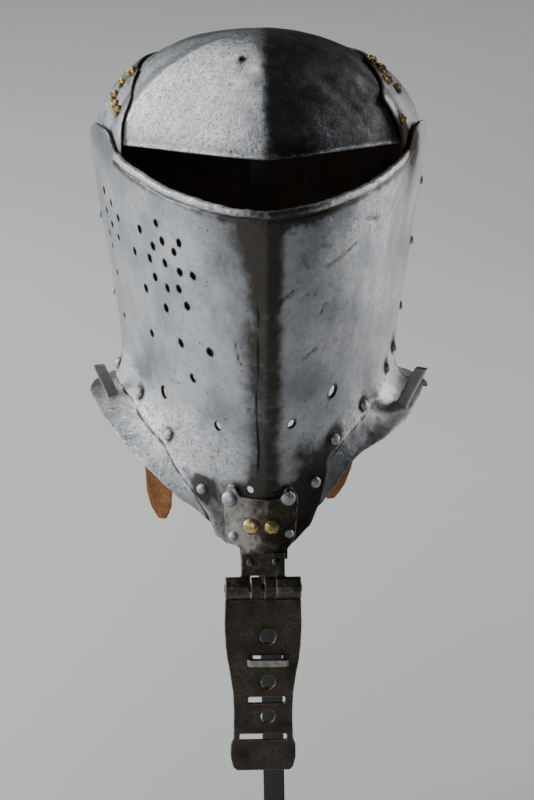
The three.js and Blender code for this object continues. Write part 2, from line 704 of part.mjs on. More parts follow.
// Strap lug: a flat bar standing in a slot of the flange and leaning outwards.
function lugGeometry(side, grow = 0) {
  const { width, thick, tail } = LUG;
  const { rise, lean } = LUG_STAND[side];
  const outline = new THREE.Shape();
  const half = thick / 2 + grow;
  const reach = (z) => lean * Math.max(z, 0);
  const levels = [-tail - grow, 0, rise + grow];
  levels.forEach((z, i) => {
    if (i === 0) outline.moveTo(reach(z) - half, z);
    else outline.lineTo(reach(z) - half, z);
  });
  [...levels].reverse().forEach((z) => outline.lineTo(reach(z) + half, z));
  const bar = new THREE.ExtrudeGeometry(outline, { depth: width + 2 * grow, bevelEnabled: false });
  return bar.translate(0, 0, -width / 2 - grow).rotateX(Math.PI / 2);
}

function lugPlace(side) {
  const sign = sideOf[side];
  const { turn } = LUG_STAND[side];
  const { point, normal } = wallFrame(sign * turn, flareLine(turn) - LUG.below);
  const seat = point.addScaledVector(normal, -(FACE_WALL + LAP_GAP));
  const spin = new THREE.Matrix4().makeRotationZ(Math.atan2(normal.y, normal.x));
  return moveTo(seat.x, seat.y, seat.z).multiply(spin);
}

// Hinge bracket: an eared plate on the face plate's tip, down to a narrow tongue.
function bracket() {
  const across = [-1, -0.75, -0.5, -0.2, 0, 0.2, 0.5, 0.75, 1];
  const rows = BRACKET_OUTLINE.map(({ z, middle, half }) =>
    across.map((share) => frontFrame(middle + share * half, z)),
  );
  const plate = solidOf(plateGeometry(rows, LAP_GAP + BRACKET_WALL, LAP_GAP));
  const { middle, half, floor, drop } = BRACKET_TOP_NOTCH;
  const [top, low] = [BRACKET_OUTLINE[0].z + 1, BRACKET_OUTLINE[0].z - drop];
  const bend = (half + floor) / 2;
  const notch = new THREE.Shape();
  notch.moveTo(-half, top);
  notch.quadraticCurveTo(-bend, low, -floor, low);
  notch.lineTo(floor, low);
  notch.quadraticCurveTo(bend, low, half, top);
  const cutter = new THREE.ExtrudeGeometry(notch, { depth: 200, bevelEnabled: false, curveSegments: 4 });
  return plate.subtract(solidOf(cutter.rotateX(Math.PI / 2), moveTo(middle, 0, 0)));
}

// Hinge axis: straight on from the tongue.
const LEAF_LIFT = LAP_GAP + BRACKET_WALL + GAP;
const leafFrame = frontFrame(0, (LEAF_TOP_Z + AXIS_Z) / 2 + 6);
const leafMiddle = leafFrame.point.clone().addScaledVector(leafFrame.normal, LEAF_LIFT + LEAF_WALL / 2);
const leafDown = new THREE.Vector3(0, leafFrame.normal.z, -leafFrame.normal.y).normalize();
if (leafDown.z > 0) leafDown.negate();
const AXIS_Y = leafMiddle.y + (leafDown.y * (AXIS_Z - leafMiddle.z)) / leafDown.z;
const leafRivets = [-9.5, 9.5].map((x, i) => {
  const share = (-283 - leafMiddle.z) / leafDown.z;
  const point = leafMiddle.clone().addScaledVector(leafDown, share).setX(HINGE_X + x);
  point.addScaledVector(leafFrame.normal, LEAF_WALL / 2);
  const name = `leaf_rivet_${i === 0 ? "right" : "left"}`;
  return { name, frame: { point, normal: leafFrame.normal }, size: SMALL_RIVET, finish: IRON };
});

const alongX = (radius, from, to, sides = 16) =>
  solidOf(
    new THREE.CylinderGeometry(radius, radius, to - from, sides).rotateZ(Math.PI / 2),
    moveTo(HINGE_X + (from + to) / 2, AXIS_Y, AXIS_Z),
  );

// Hinge leaf: a small plate riveted over the tongue, with the two outer knuckles.
function hingeLeaf() {
  const top = leafMiddle.clone().addScaledVector(leafDown, (LEAF_TOP_Z - leafMiddle.z) / leafDown.z);
  const end = new THREE.Vector3(0, AXIS_Y, AXIS_Z);
  const length = top.distanceTo(end);
  const tilt = new THREE.Matrix4().makeRotationX(Math.atan2(leafDown.y, -leafDown.z));
  const middle = top.clone().add(end).multiplyScalar(0.5);
  const plate = solidOf(
    block(LEAF_HALF * 2, LEAF_WALL, length),
    moveTo(HINGE_X, middle.y, middle.z).multiply(tilt),
  );
  const room = alongX(KNUCKLE_R + 0.8, -KNUCKLE_INNER, KNUCKLE_INNER, 20);
  const barrels = [
    alongX(KNUCKLE_R, -KNUCKLE_HALF, -KNUCKLE_INNER),
    alongX(KNUCKLE_R, KNUCKLE_INNER, KNUCKLE_HALF),
  ];
  const bore = alongX(PIN_R + GAP, -KNUCKLE_HALF - 1, KNUCKLE_HALF + 1, 12);
  return joinAll([plate.subtract(room), ...barrels]).subtract(bore);
}

const hingePin = () => alongX(PIN_R, -KNUCKLE_HALF - 0.6, KNUCKLE_HALF + 0.6, 12);

// Hasp: a pierced plate hanging from two inner knuckles with a slit between them.
function hasp() {
  const outline = new THREE.Shape();
  const [first, ...rest] = HASP_OUTLINE;
  outline.moveTo(-first.half, -first.drop);
  rest.forEach(({ drop, half }) => outline.lineTo(-half, -drop));
  [...HASP_OUTLINE].reverse().forEach(({ drop, half }) => outline.lineTo(half, -drop));
  HASP_HOLES.forEach(({ x, drop, r }) => {
    outline.holes.push(new THREE.Path().absarc(x, -drop, r, 0, 2 * Math.PI, true));
  });
  HASP_SLOTS.forEach(({ x, drop, half, height }) => {
    const [left, right] = [x - half, x + half];
    const [low, high] = [-drop - height / 2, -drop + height / 2];
    const slot = new THREE.Path().moveTo(left, low).lineTo(left, high).lineTo(right, high);
    outline.holes.push(slot.lineTo(right, low).lineTo(left, low));
  });
  const sheet = new THREE.ExtrudeGeometry(outline, {
    depth: HASP_WALL,
    bevelEnabled: false,
    curveSegments: 6,
  });
  const stand = new THREE.Matrix4().makeRotationX(Math.PI / 2);
  const plate = solidOf(sheet, moveTo(HINGE_X, AXIS_Y + HASP_WALL / 2, AXIS_Z).multiply(stand));
  const { from, to } = HASP_KNUCKLE;
  const webHeight = first.drop + 2;
  const parts = [-1, 1].flatMap((sign) => {
    const web = solidOf(
      block(to - from, HASP_WALL, webHeight),
      moveTo(HINGE_X + (sign * (from + to)) / 2, AXIS_Y, AXIS_Z - webHeight / 2),
    );
    const [low, high] = sign < 0 ? [-to, -from] : [from, to];
    return [web, alongX(KNUCKLE_R, low, high)];
  });
  const bore = alongX(PIN_R + GAP, -to - 1, to + 1, 12);
  return joinAll([plate, ...parts]).subtract(bore);
}

// Staple through the hasp's upper slot: a cross bar in front, legs turned outwards behind.
function staple() {
  const { x, drop, half, height } = HASP_SLOTS[0];
  const { bar, tall, standOff, foot } = STAPLE;
  const outer = half - GAP;
  const inner = outer - bar;
  const front = -HASP_WALL / 2 - standOff - bar;
  const behind = HASP_WALL / 2 + GAP;
  const outline = new THREE.Shape();
  outline.moveTo(-outer, behind).lineTo(-outer, front + 2).lineTo(-outer + 2, front);
  outline.lineTo(outer - 2, front).lineTo(outer, front + 2).lineTo(outer, behind);
  outline.lineTo(outer + foot, behind).lineTo(outer + foot, behind + 3).lineTo(inner, behind + 3);
  outline.lineTo(inner, front + bar).lineTo(-inner, front + bar).lineTo(-inner, behind + 3);
  outline.lineTo(-outer - foot, behind + 3).lineTo(-outer - foot, behind);
  const shape = new THREE.ExtrudeGeometry(outline, { depth: tall, bevelEnabled: false });
  const z = AXIS_Z - drop - height / 2 + GAP;
  return solidOf(shape, moveTo(HINGE_X + x, AXIS_Y, z));
}

// Leather strap: its upper end lies on the inside of the face plate, steps in over the collar's
// upper edge, and the rest hangs out of the neck.
function strap(side) {
  const sign = sideOf[side];
  const { width, thick, turn, above, step, twist } = STRAP;
  const { length, lean } = STRAP_HANG[side];
  const start = wallFrame(sign * turn, faceEdge(sign * turn) + COLLAR_TUCK + above);
  const seat = start.point.addScaledVector(start.normal, -(FACE_WALL + STRAP.seat));
  const spin = Math.atan2(start.normal.y, start.normal.x);
  const inward = new THREE.Vector3(-Math.cos(spin), -Math.sin(spin), 0);
  const rows = [0, 0.04, 0.08, 0.12, ...spread(0.2, 1, 10)].map((share) => {
    const tip = Math.max(share - 0.82, 0) / 0.18;
    const half = (width / 2) * Math.sqrt(Math.max(1 - 0.9 * tip ** 2, 0.04));
    const around = spin - sign * twist * smoothStep((share - 0.2) / 0.5);
    const across = new THREE.Vector3(-Math.sin(around), Math.cos(around), 0);
    const drift = lean * length * share + step * smoothStep((length * share) / above);
    const middle = seat.clone().addScaledVector(inward, drift).setZ(seat.z - length * share);
    const normal = new THREE.Vector3(-Math.cos(around), -Math.sin(around), 0);
    return [-half, 0, half].map((offset) => ({
      point: middle.clone().addScaledVector(across, offset),
      normal,
    }));
  });
  return solidOf(plateGeometry(rows, thick, 0));
}

// Display stand: a round foot, a square post and a pad under the skull, all one piece.
function stand() {
  const floor = -SIGHT_HEIGHT;
  const foot = solidOf(
    new THREE.CylinderGeometry(FOOT_R, FOOT_R, FOOT_THICK, 40).rotateX(Math.PI / 2),
    moveTo(0, POST_Y, floor + FOOT_THICK / 2),
  );
  const padTop = APEX_Z + 10;
  const postTop = APEX_Z - SKULL_WALL - PAD.thick;
  const postHeight = postTop - floor - 1;
  const lean = new THREE.Matrix4().makeShear(0, 0, 0, 0, -POST_LEAN, 0);
  const post = solidOf(
    block(POST_SIDE, POST_SIDE, postHeight),
    lean.multiply(moveTo(0, POST_Y, floor + 1 + postHeight / 2)),
  );
  const padBlock = solidOf(
    block(PAD.width, PAD.depth, padTop - postTop + PAD.thick),
    moveTo(0, POST_Y, (padTop + postTop - PAD.thick) / 2),
  );
  return joinAll([foot, post, padBlock.intersect(skullCore())]);
}

// Assembly.
const object = new THREE.Group();
const helm = new THREE.Group();
helm.position.set(0, -POST_Y, SIGHT_HEIGHT);
object.add(helm);

function add(name, geometry, material) {
  const mesh = new THREE.Mesh(geometry, material);
  mesh.name = name;
  helm.add(mesh);
  return mesh;
}

add("skull_plate", geometryOf(skullPlate()), STEEL);
const face = add("face_plate", geometryOf(facePlate()), STEEL);
const back = add("back_plate", geometryOf(backPlate()), STEEL);
for (const side of Object.keys(sideOf)) {
  add(`collar_${side}`, geometryOf(collar(side)), STEEL);
  add(`strap_lug_${side}`, geometryOf(solidOf(lugGeometry(side), lugPlace(side))), IRON);
  add(`leather_strap_${side}`, geometryOf(strap(side)), LEATHER);
}
const eared = add("hinge_bracket", geometryOf(bracket()), IRON);
const leaf = add("hinge_leaf", geometryOf(hingeLeaf()), IRON);
add("hinge_pin", geometryOf(hingePin()), IRON);
add("hasp_plate", geometryOf(hasp()), IRON);
add("hasp_staple", geometryOf(staple()), IRON);
add("display_stand", geometryOf(stand()), BLACK);

// A rivet's head sits on the facet of its plate that lies under it.
const SEAT_REACH = 20;
function addRivet({ name, frame, size, finish }, plate, makeGeometry = rivetGeometry) {
  const from = frame.point.clone().addScaledVector(frame.normal, SEAT_REACH);
  const ray = new THREE.Raycaster(from, frame.normal.clone().negate());
  const [seat] = ray.intersectObject(new THREE.Mesh(plate.geometry));
  const place = placeOn({ point: seat.point, normal: frame.normal }, HEAD_LIFT);
  add(name, makeGeometry(size), finish).applyMatrix4(place);
}
for (const rivet of plateRivets) addRivet({ finish: STEEL, ...rivet }, face);
for (const rivet of bandRivets) addRivet({ finish: BRASS, ...rivet }, back, rosetteGeometry);
for (const rivet of bracketRivets) addRivet(rivet, eared);
for (const rivet of leafRivets) addRivet(rivet, leaf);

export default object;
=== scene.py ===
"""Frog-mouth helm on its display post: the dressed plates, ironwork, rivets, straps and stand.

Sizes of the helm are in millimetres from the sight's corners, with the wearer facing -Y; placed() turns
them into the frame's metres.
"""
import math

import bmesh
import bpy
import numpy as np
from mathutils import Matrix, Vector


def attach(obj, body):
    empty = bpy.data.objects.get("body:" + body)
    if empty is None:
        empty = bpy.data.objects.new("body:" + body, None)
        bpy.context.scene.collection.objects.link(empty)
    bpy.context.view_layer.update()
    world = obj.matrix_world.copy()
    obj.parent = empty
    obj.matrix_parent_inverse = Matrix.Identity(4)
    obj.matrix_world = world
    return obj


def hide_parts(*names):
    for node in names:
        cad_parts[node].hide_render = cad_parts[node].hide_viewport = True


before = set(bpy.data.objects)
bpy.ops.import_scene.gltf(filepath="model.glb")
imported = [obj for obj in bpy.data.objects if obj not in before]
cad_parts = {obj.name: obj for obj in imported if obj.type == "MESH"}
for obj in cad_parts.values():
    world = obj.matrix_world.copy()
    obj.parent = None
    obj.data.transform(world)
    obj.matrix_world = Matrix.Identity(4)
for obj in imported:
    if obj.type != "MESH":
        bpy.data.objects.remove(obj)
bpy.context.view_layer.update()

# Millimetres to metres, and where the helm's own zero lies in the frame.
MM = 0.001
HELM_PLACE = np.array([0.0, -15.0, 645.0])
POST_Y = 15

# Plates: their walls, and the clearance where one lies under another.
FACE_WALL, BACK_WALL, SKULL_WALL, COLLAR_WALL, BRACKET_WALL = 2.6, 2, 2.4, 2, 3
LAP_GAP = 0.95
BAND_LIFT, BRACKET_LIFT = LAP_GAP + BACK_WALL, LAP_GAP + BRACKET_WALL
TUCKED = FACE_WALL + LAP_GAP

# Plan of the wall by height: half width, widest place, keel, back, and how far the keel stands proud.
# TURN_STEP is the small turn over which slopes are taken.
PLAN = dict(
    z=(-300, -240, -195, -150, -100, -15, 20),
    half=(96, 97, 100, 110.5, 119.5, 130.5, 129),
    wide=(55, 56, 60, 64, 68, 70, 70),
    keel=(-114, -116, -121, -131, -142, -151, -151),
    back=(154, 156, 160, 167, 176, 180, 180),
    crease=(1, 3, 7, 8, 8, 4, 3),
)
PROW_POWER = 1.6
TURN_STEP = 0.004
KEEL_SPREAD = 16

# The neck's flare by turn from the keel, in radians: its line, how far it stands out, and its curl below.
FLARE = dict(
    turn=(0, 0.27, 0.37, 0.47, 0.71, 1.05, 1.5, 2.2, math.pi),
    z=(-276, -274, -258, -241, -216, -201, -199, -212, -232),
    out=(9, 11, 12, 13, 15, 16, 16, 16, 16),
    curl=(0, 0, 0.02, 0.05, 0.1, 0.13, 0.13, 0.13, 0.13),
)
FLARE_RISE = 22
FLANGE_DROP = 10.5

# Edges of the face plate: the lower one by signed turn, the upper one by turn.
FACE_LOW = dict(
    turn=(-1.62, -1.23, -1.05, -0.71, -0.47, -0.37, -0.31, -0.25, 0, 0.12, 0.19,
          0.3, 0.38, 0.43, 0.475, 0.59, 0.69, 0.88, 1.11, 1.24, 1.62),
    z=(-199, -199, -200.5, -215, -241, -257, -271, -275, -277, -277, -272.5,
       -264, -246.5, -232.5, -219, -209.5, -203.7, -195.3, -188, -185, -188),
)
FACE_TOP = dict(turn=(0, 0.9, 1.03, 1.09, 1.15, 1.3, 1.62), z=(-4, -1, 0, 8, 11, 8, -4))
SIGHT_CORNER = 1.03
LIP_ROLL = 3.1

# Skull: apex, front edge over the sight, medial ridge, and how square each meridian is.
APEX = (-6, 5, 88)
SKULL_FRONT_Y, SKULL_FRONT_Z, SKULL_EDGE_POWER = -85, 15, 1.5
SKULL_CORNER_Z, SKULL_SKIRT_Z, SKIRT_TURN = 4, -8, 1.2
SKULL_RIDGE, SKULL_RIDGE_SPREAD, SKULL_RIDGE_RUN = 4, 22, 50
MERIDIAN = dict(turn=(0, 0.8, 1.2, 1.9, math.pi), power=(1.6, 1.7, 1.72, 1.7, 1.6))
SKULL_INSET = FACE_WALL + BACK_WALL + 2 * LAP_GAP

# The band of the back plate over the ears: where it starts, and its upper edge along the meridian.
BAND_START, BACK_LOW_TURN = 1, 1.46
BAND_TOP = dict(
    turn=(1, 1.03, 1.06, 1.1, 1.2, 1.37, 1.46, 1.7, math.pi),
    right=(0.95, 0.85, 0.73, 0.685, 0.64, 0.555, 0.55, 0.53, 0.56),
    left=(0.7, 0.68, 0.66, 0.645, 0.615, 0.53, 0.488, 0.5, 0.56),
)

# Collars: tuck under the face plate, and outer edge measured from the flare line.
COLLAR_TUCK = 12
COLLAR_EDGE = dict(
    turn=(0.34, 0.39, 0.49, 0.58, 0.7, 0.82, 1, 1.3, 1.52),
    right=(0.1, -3, -8, -9.6, -10.3, -11, -11, -10.7, -10.7),
    left=(9.1, 5, 0.5, 0, -3, -6.8, -9, -9.4, -9.4),
)

# Holes through the face plate, as (turn, z, radius).
BREATHS = (
    (-1.225, -41.5, 2.9), (-1.122, -46.4, 2.6), (-1.221, -57.4, 2.4), (-1.044, -53.9, 2.9),
    (-1.159, -65.4, 2.4), (-1.243, -77, 2.3), (-1.086, -71.8, 2.5), (-1.215, -86, 2.3),
    (-1.212, -107.5, 2.1), (-1.217, -142.8, 2.1), (-0.81, -48.1, 3.2), (-0.67, -34.9, 2.9),
    (-0.636, -47.2, 3.2), (-0.711, -55.6, 3.2), (-0.888, -70.8, 3.2), (-0.517, -42.3, 2.9),
    (-0.556, -51.5, 2.9), (-0.749, -67.6, 3.2), (-0.629, -64.4, 3.2), (-0.526, -65.9, 3.2),
    (-0.44, -64.8, 3), (-0.724, -81.4, 3.2), (-0.822, -96.6, 3.2), (-0.634, -84.9, 3.2),
    (-0.544, -80.5, 3.2), (-0.66, -102.7, 3.2), (-0.497, -91.9, 3.2), (-0.825, -133.9, 3),
    (-0.57, -126.4, 3.2), (-0.363, -123.7, 3.2), (-0.507, -152.4, 3.2),
)
LACING_HOLES = (
    (-0.779, -179.9, 5.2), (-0.355, -186.3, 3.7), (0.488, -163.8, 5.2),
    (0.185, -179.5, 3.5), (-0.12, -232.2, 3), (0.062, -231.5, 2.7),
)
SKULL_HOLE = (-0.217, 0.348, 2)

# Rivets as (signed turn, z) on the wall, (x, z) on the bracket, and rosettes as (signed turn, along).
COLLAR_RIVETS = (
    (-0.433, -239), (-0.698, -209), (-1, -193.5), (-1.5, -192),
    (0.365, -233), (0.53, -206), (0.786, -192.5), (1.1, -181), (1.264, -172.5),
)
SEAM_RIVETS = ((-1.54, -71), (-1.54, -134), (1.54, -46.5), (1.54, -95.5), (1.54, -148.5))
ROSETTES = (
    (-1.156, 0.765), (-1.25, 0.745), (-1.35, 0.72), (-1.39, 0.65), (-1.4, 0.585),
    (1.06, 0.84), (1.328, 0.685), (1.304, 0.622), (1.394, 0.577), (1.46, 0.525),
)
BIG_RIVETS = ((-25, -241), (14.5, -238))
SMALL_RIVETS = ((-23, -269), (15.5, -266))
BRASS_RIVETS = ((-10.2, -259.5), (3.4, -259.5))

# Hinge bracket: middle and half width by height, and the notch in its top edge as inner and outer half
# widths and drop.
BRACKET = dict(
    z=(-284, -277, -274, -270, -263, -252, -240, -230),
    middle=(-2, -2, -3, -4, -4, -4, -4, -4),
    half=(17, 17, 21, 24, 25, 26, 26.5, 21.5),
)
BRACKET_NOTCH = (10, 19, 8)

# Old damage of the face plate: the crack beside the keel as x by height, and pitted lines as turn and z at
# both ends with their widths.
CRACK = dict(
    z=(-222, -199, -177, -156, -135, -114, -96, -77, -60),
    x=(-6.3, -5.4, -6.6, -7.6, -6.2, -6.6, -5.8, -6.8, -6),
)
CRACK_DEPTH, CRACK_WIDTH, CRACK_TURNS = 1.1, 0.55, (-0.085, -0.03)
SCARS = (
    ((0.06, -77), (0.15, -68), 1.9), ((0.355, -55), (0.46, -50), 1.7), ((0.46, -50), (0.555, -45), 1.2),
    ((0.24, -125), (0.325, -120), 1.4), ((0.33, -92), (0.36, -85), 1.7), ((0.31, -36), (0.375, -39), 1.2),
    ((-0.695, -165), (-0.615, -163), 1.4), ((-0.645, -186), (-0.65, -203), 1.4),
    ((-0.34, -205), (-0.41, -216), 1.4), ((0.62, -30), (0.72, -36), 1.5),
    ((0.2, -40), (0.24, -52), 1.2), ((-0.2, -110), (-0.17, -128), 1),
)

# Stains of the face plate: the ear's as turn and z, and the clouds beside the keel as x and z.
EAR_STAIN = (1.1, 2)
CLOUDED = ((-24, -24), (-33, -45))

# How far each mark of the face plate counts in a layer of its finish; the fine ones vary over a few mm.
FACE_MARKS = dict(
    tarnish=dict(keel=0.782, lip=0.75, lip_middle=0.6, left_low=0.64, tip=0.6, dark_ring=1.4, cloud=0.45, crack=1,
                 scars=0.3, corner=1, inner=1, holes=0.8, right_rub=-0.35, left_rub=-0.4, bare_rim=-0.4,
                 hem=-0.8),
    fine_tarnish=dict(keel=0.136, lip_middle=0.48, left_low=0.4, tip=0.375),
    rust=dict(keel=0.1, lip=0.12, lip_middle=0.28, left_low=0.12, tip=0.15, corner=0.88, inner=0.55,
              holes=0.3),
    fine_rust=dict(lip_middle=0.4, tip=0.3, corner=0.55),
    wear=dict(right_rub=0.85, left_rub=0.8, rim=0.7, hem=0.6),
)

# Floor, in metres, and sky.
FLOOR_SIZE, FLOOR_Z = 60, -0.0005
SKY_COLOUR, SKY_STRENGTH = (0.5, 0.53, 0.58, 1), 0.085

# Soft lights: place, aim, size, power, colour, and whether the steel mirrors them.
LIGHTS = (
    ("left_back", (-2.2, 1.0, 1.25), (0, 0, 0.6), (1.2, 1.2), 42, (0.97, 0.99, 1.0), True),
    ("left_panel", (-2.5, -0.8, 1.25), (0, -0.1, 0.6), (1.8, 1.2), 23, (0.97, 0.99, 1.0), True),
    ("front_panel", (-1.0, -2.6, 0.9), (0, 0, 0.5), (1.0, 0.8), 9, (0.95, 0.98, 1.0), True),
    ("top_panel", (-1.2, 0.9, 2.15), (-1.2, 0.9, 0), (1.2, 1.8), 17, (0.97, 0.99, 1.0), True),
    ("right_strip", (1.45, 1.05, 0.65), (0, 0, 0.6), (0.3, 1.3), 10, (1.0, 0.99, 0.98), True),
    ("floor_wash", (0.0, 3.0, 2.2), (0.0, 2.6, 0), (4.0, 1.6), 27, (1.0, 1.0, 1.0), False),
)

# Photograph's camera: longer side and focal length in pixels, distance, angles, and the point it looks at.
PHOTO_TALL = 800
FOCAL_PIXELS = 2814
CAMERA_DISTANCE = 2.2
CAMERA_ELEVATION, CAMERA_AZIMUTH = math.radians(21), math.radians(-1.8)
CAMERA_TARGET = Vector((0.0043, -0.015, 0.441))
SENSOR = 36


# Tables and noise

def columns(rows):
    return np.array(rows, float).T


def straight(table, name, at):
    """A column of a table by straight lines between its rows, found by its first column."""
    return np.interp(at, next(iter(table.values())), table[name])


def smooth(table, name, at):
    """A column of a table by a smooth curve through its rows, found by its first column."""
    k, v = np.array(next(iter(table.values())), float), np.array(table[name], float)
    rows = np.arange(len(k))
    before, after = np.maximum(rows - 1, 0), np.minimum(rows + 1, len(k) - 1)
    slope = (v[after] - v[before]) / (k[after] - k[before])
    at = np.clip(at, k[0], k[-1])
    i = np.clip(np.searchsorted(k, at) - 1, 0, len(k) - 2)
    span = k[i + 1] - k[i]
    s = (at - k[i]) / span
    return (v[i] * (2 * s**3 - 3 * s**2 + 1) + slope[i] * span * (s**3 - 2 * s**2 + s)
            + v[i + 1] * (3 * s**2 - 2 * s**3) + slope[i + 1] * span * (s**3 - s**2))


def rise(value, over=1):
    """0 below 0, 1 above this much, smooth between."""
    t = np.clip(value / over, 0, 1)
    return t * t * (3 - 2 * t)


def bell(value, width):
    """1 at 0, fading over this width on both sides."""
    return np.exp(-((value / width) ** 2))


def unit(vectors):
    return vectors / np.linalg.norm(vectors, axis=-1, keepdims=True)


def lumps(points, seed, longest, shortest, waves=24):
    """Smooth unevenness of hand work, from -1 to 1: waves in many directions, longest to shortest in mm."""
    draw = np.random.default_rng(seed)
    total = np.zeros(points.shape[:-1])
    for share in np.linspace(0, 1, waves):
        length = longest * (shortest / longest) ** share
        way = unit(draw.normal(size=3))
        phase = draw.uniform(0, 2 * math.pi)
        total += np.sin(points @ way * (2 * math.pi / length) + phase) * math.sqrt(length)
    return total / np.abs(total).max()


# The helm's surfaces, as arrays of points over turn and height, or turn and meridian

def plan(turn, z):
    at = lambda name: smooth(PLAN, name, z)
    around = np.abs(turn)
    x, ahead = at("half") * np.sin(around), np.cos(around)
    prow = (at("wide") - at("keel") - at("crease")) * np.maximum(ahead, 0) ** PROW_POWER
    rear = (at("back") - at("wide")) * np.maximum(-ahead, 0)
    keel = at("crease") * np.exp(-x / KEEL_SPREAD)
    return np.stack([np.sign(turn) * x, at("wide") - prow - keel + rear], -1)


def flare_line(turn):
    return smooth(FLARE, "z", np.abs(turn))


def outwards(normal, points):
    """Normals turned away from the post."""
    away = normal[..., 0] * points[..., 0] + normal[..., 1] * (points[..., 1] - POST_Y)
    return np.where(away[..., None] < 0, -normal, normal)


def wall(turn, z):
    turn, z = np.broadcast_arrays(np.asarray(turn, float), np.asarray(z, float))
    across = plan(turn + TURN_STEP / 2, z) - plan(turn - TURN_STEP / 2, z)
    place = plan(turn, z)
    outward = outwards(unit(np.stack([across[..., 1], -across[..., 0]], -1)), place)
    above = z - flare_line(turn)
    out, curl = straight(FLARE, "out", np.abs(turn)), straight(FLARE, "curl", np.abs(turn))
    flare = np.where(above >= 0, out * np.exp(-np.maximum(above, 0) / FLARE_RISE),
                     out * (1 - above / FLARE_RISE) + curl * above**2)
    return np.concatenate([place + outward * flare[..., None], z[..., None]], -1)


def framed(surface, u, v, step_v=0.2):
    """Points of a surface and the way out of the helm there."""
    points = surface(u, v)
    around = surface(u + TURN_STEP, v) - surface(u - TURN_STEP, v)
    normal = unit(np.cross(around, surface(u, v + step_v) - surface(u, v - step_v)))
    return points, outwards(normal, points)


# Where the collars end and the back's flange starts.
SEAM_Y = plan(np.array(BACK_LOW_TURN), flare_line(np.array(BACK_LOW_TURN)))[1]


def skull_border(turn):
    def ring(t):
        points, normal = framed(wall, t, np.full_like(t, SKULL_SKIRT_Z))
        points = points - normal * SKULL_INSET
        back = rise(np.abs(t) - SIGHT_CORNER, SKIRT_TURN - SIGHT_CORNER)
        points[..., 2] = SKULL_CORNER_Z + (SKULL_SKIRT_Z - SKULL_CORNER_Z) * back
        return points
    corner = ring(np.array([SIGHT_CORNER]))[0]
    share = np.sin(np.abs(turn)) / math.sin(SIGHT_CORNER)
    front = np.stack([np.sign(turn) * corner[0] * share,
                      SKULL_FRONT_Y + (corner[1] - SKULL_FRONT_Y) * share**SKULL_EDGE_POWER,
                      SKULL_FRONT_Z + (SKULL_CORNER_Z - SKULL_FRONT_Z) * share**2], -1)
    return np.where((np.abs(turn) >= SIGHT_CORNER)[..., None], ring(turn), front)


def skull(turn, along):
    turn, along = np.broadcast_arrays(np.asarray(turn, float), np.asarray(along, float))
    border = skull_border(turn)
    power = 2 / smooth(MERIDIAN, "power", np.abs(turn))
    out = np.sin(np.maximum(along, 0) * math.pi / 2) ** power
    up = np.maximum(np.cos(along * math.pi / 2), 0) ** power
    x, y = (APEX[i] + (border[..., i] - APEX[i]) * out for i in (0, 1))
    ahead = rise(APEX[1] - y, SKULL_RIDGE_RUN) * np.sqrt(up)
    ridge = SKULL_RIDGE * np.exp(-np.abs(x) / SKULL_RIDGE_SPREAD) * ahead
    return np.stack([x, y, border[..., 2] + (APEX[2] - border[..., 2]) * up + ridge], -1)


def skull_framed(turn, along):
    points, normal = framed(skull, turn, np.clip(along, 0.02, 0.985), 0.01)
    normal[normal[..., 2] < -0.3] *= -1
    normal[along < 0.02] = (0, 0, 1)
    return skull(turn, along), normal


# Meshes

def placed(points):
    """Millimetres from the sight's corners to the frame's metres."""
    return (np.asarray(points, float) + HELM_PLACE) * MM


def vertex_array(piece, name):
    """Places ("co") or normals ("normal") of a piece's vertices."""
    values = np.empty(len(piece.data.vertices) * 3)
    piece.data.vertices.foreach_get(name, values)
    return values.reshape(-1, 3)


def helm_points(piece):
    """A piece's vertices in millimetres from the sight's corners."""
    return vertex_array(piece, "co") / MM - HELM_PLACE


def inner_side(piece, lift=0):
    """1 on the faces that look into the helm, 0 on those that look out."""
    out = unit((helm_points(piece) - (0, POST_Y, -40)) * (1, 1, lift))
    facing = np.sum(out * vertex_array(piece, "normal"), -1)
    return rise(-0.1 - facing, 0.3)


def near(points, places, reach):
    """1 at the nearest of some places, fading over this reach."""
    gap = np.min([np.linalg.norm(points - place, axis=-1) for place in places], axis=0)
    return bell(gap, reach)


def near_line(points, start, end, width):
    """1 on a straight line between two places, fading over its width."""
    way = end - start
    share = np.clip((points - start) @ way / (way @ way), 0, 1)
    gap = np.linalg.norm(points - start - share[..., None] * way, axis=-1)
    return bell(gap, width)


def linked(name, data):
    """A new object of the scene."""
    made = bpy.data.objects.new(name, data)
    bpy.context.scene.collection.objects.link(made)
    return made


def node_copy(name):
    """A piece of its own with the shape of a node's solid."""
    piece = linked(f"{name}_dressed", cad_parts[name].data.copy())
    weld(piece)
    return piece


def mesh_piece(name, points, faces):
    mesh = bpy.data.meshes.new(name)
    mesh.from_pydata(points.tolist(), [], faces)
    piece = linked(name, mesh)
    weld(piece)
    shade(piece)
    return piece


def weld(piece):
    bm = bmesh.new()
    bm.from_mesh(piece.data)
    bmesh.ops.remove_doubles(bm, verts=bm.verts, dist=1e-6)
    bmesh.ops.recalc_face_normals(bm, faces=bm.faces)
    bm.to_mesh(piece.data)
    bm.free()


def shade(piece, sharp=40):
    piece.data.shade_smooth()
    piece.data.set_sharp_from_angle(angle=math.radians(sharp))


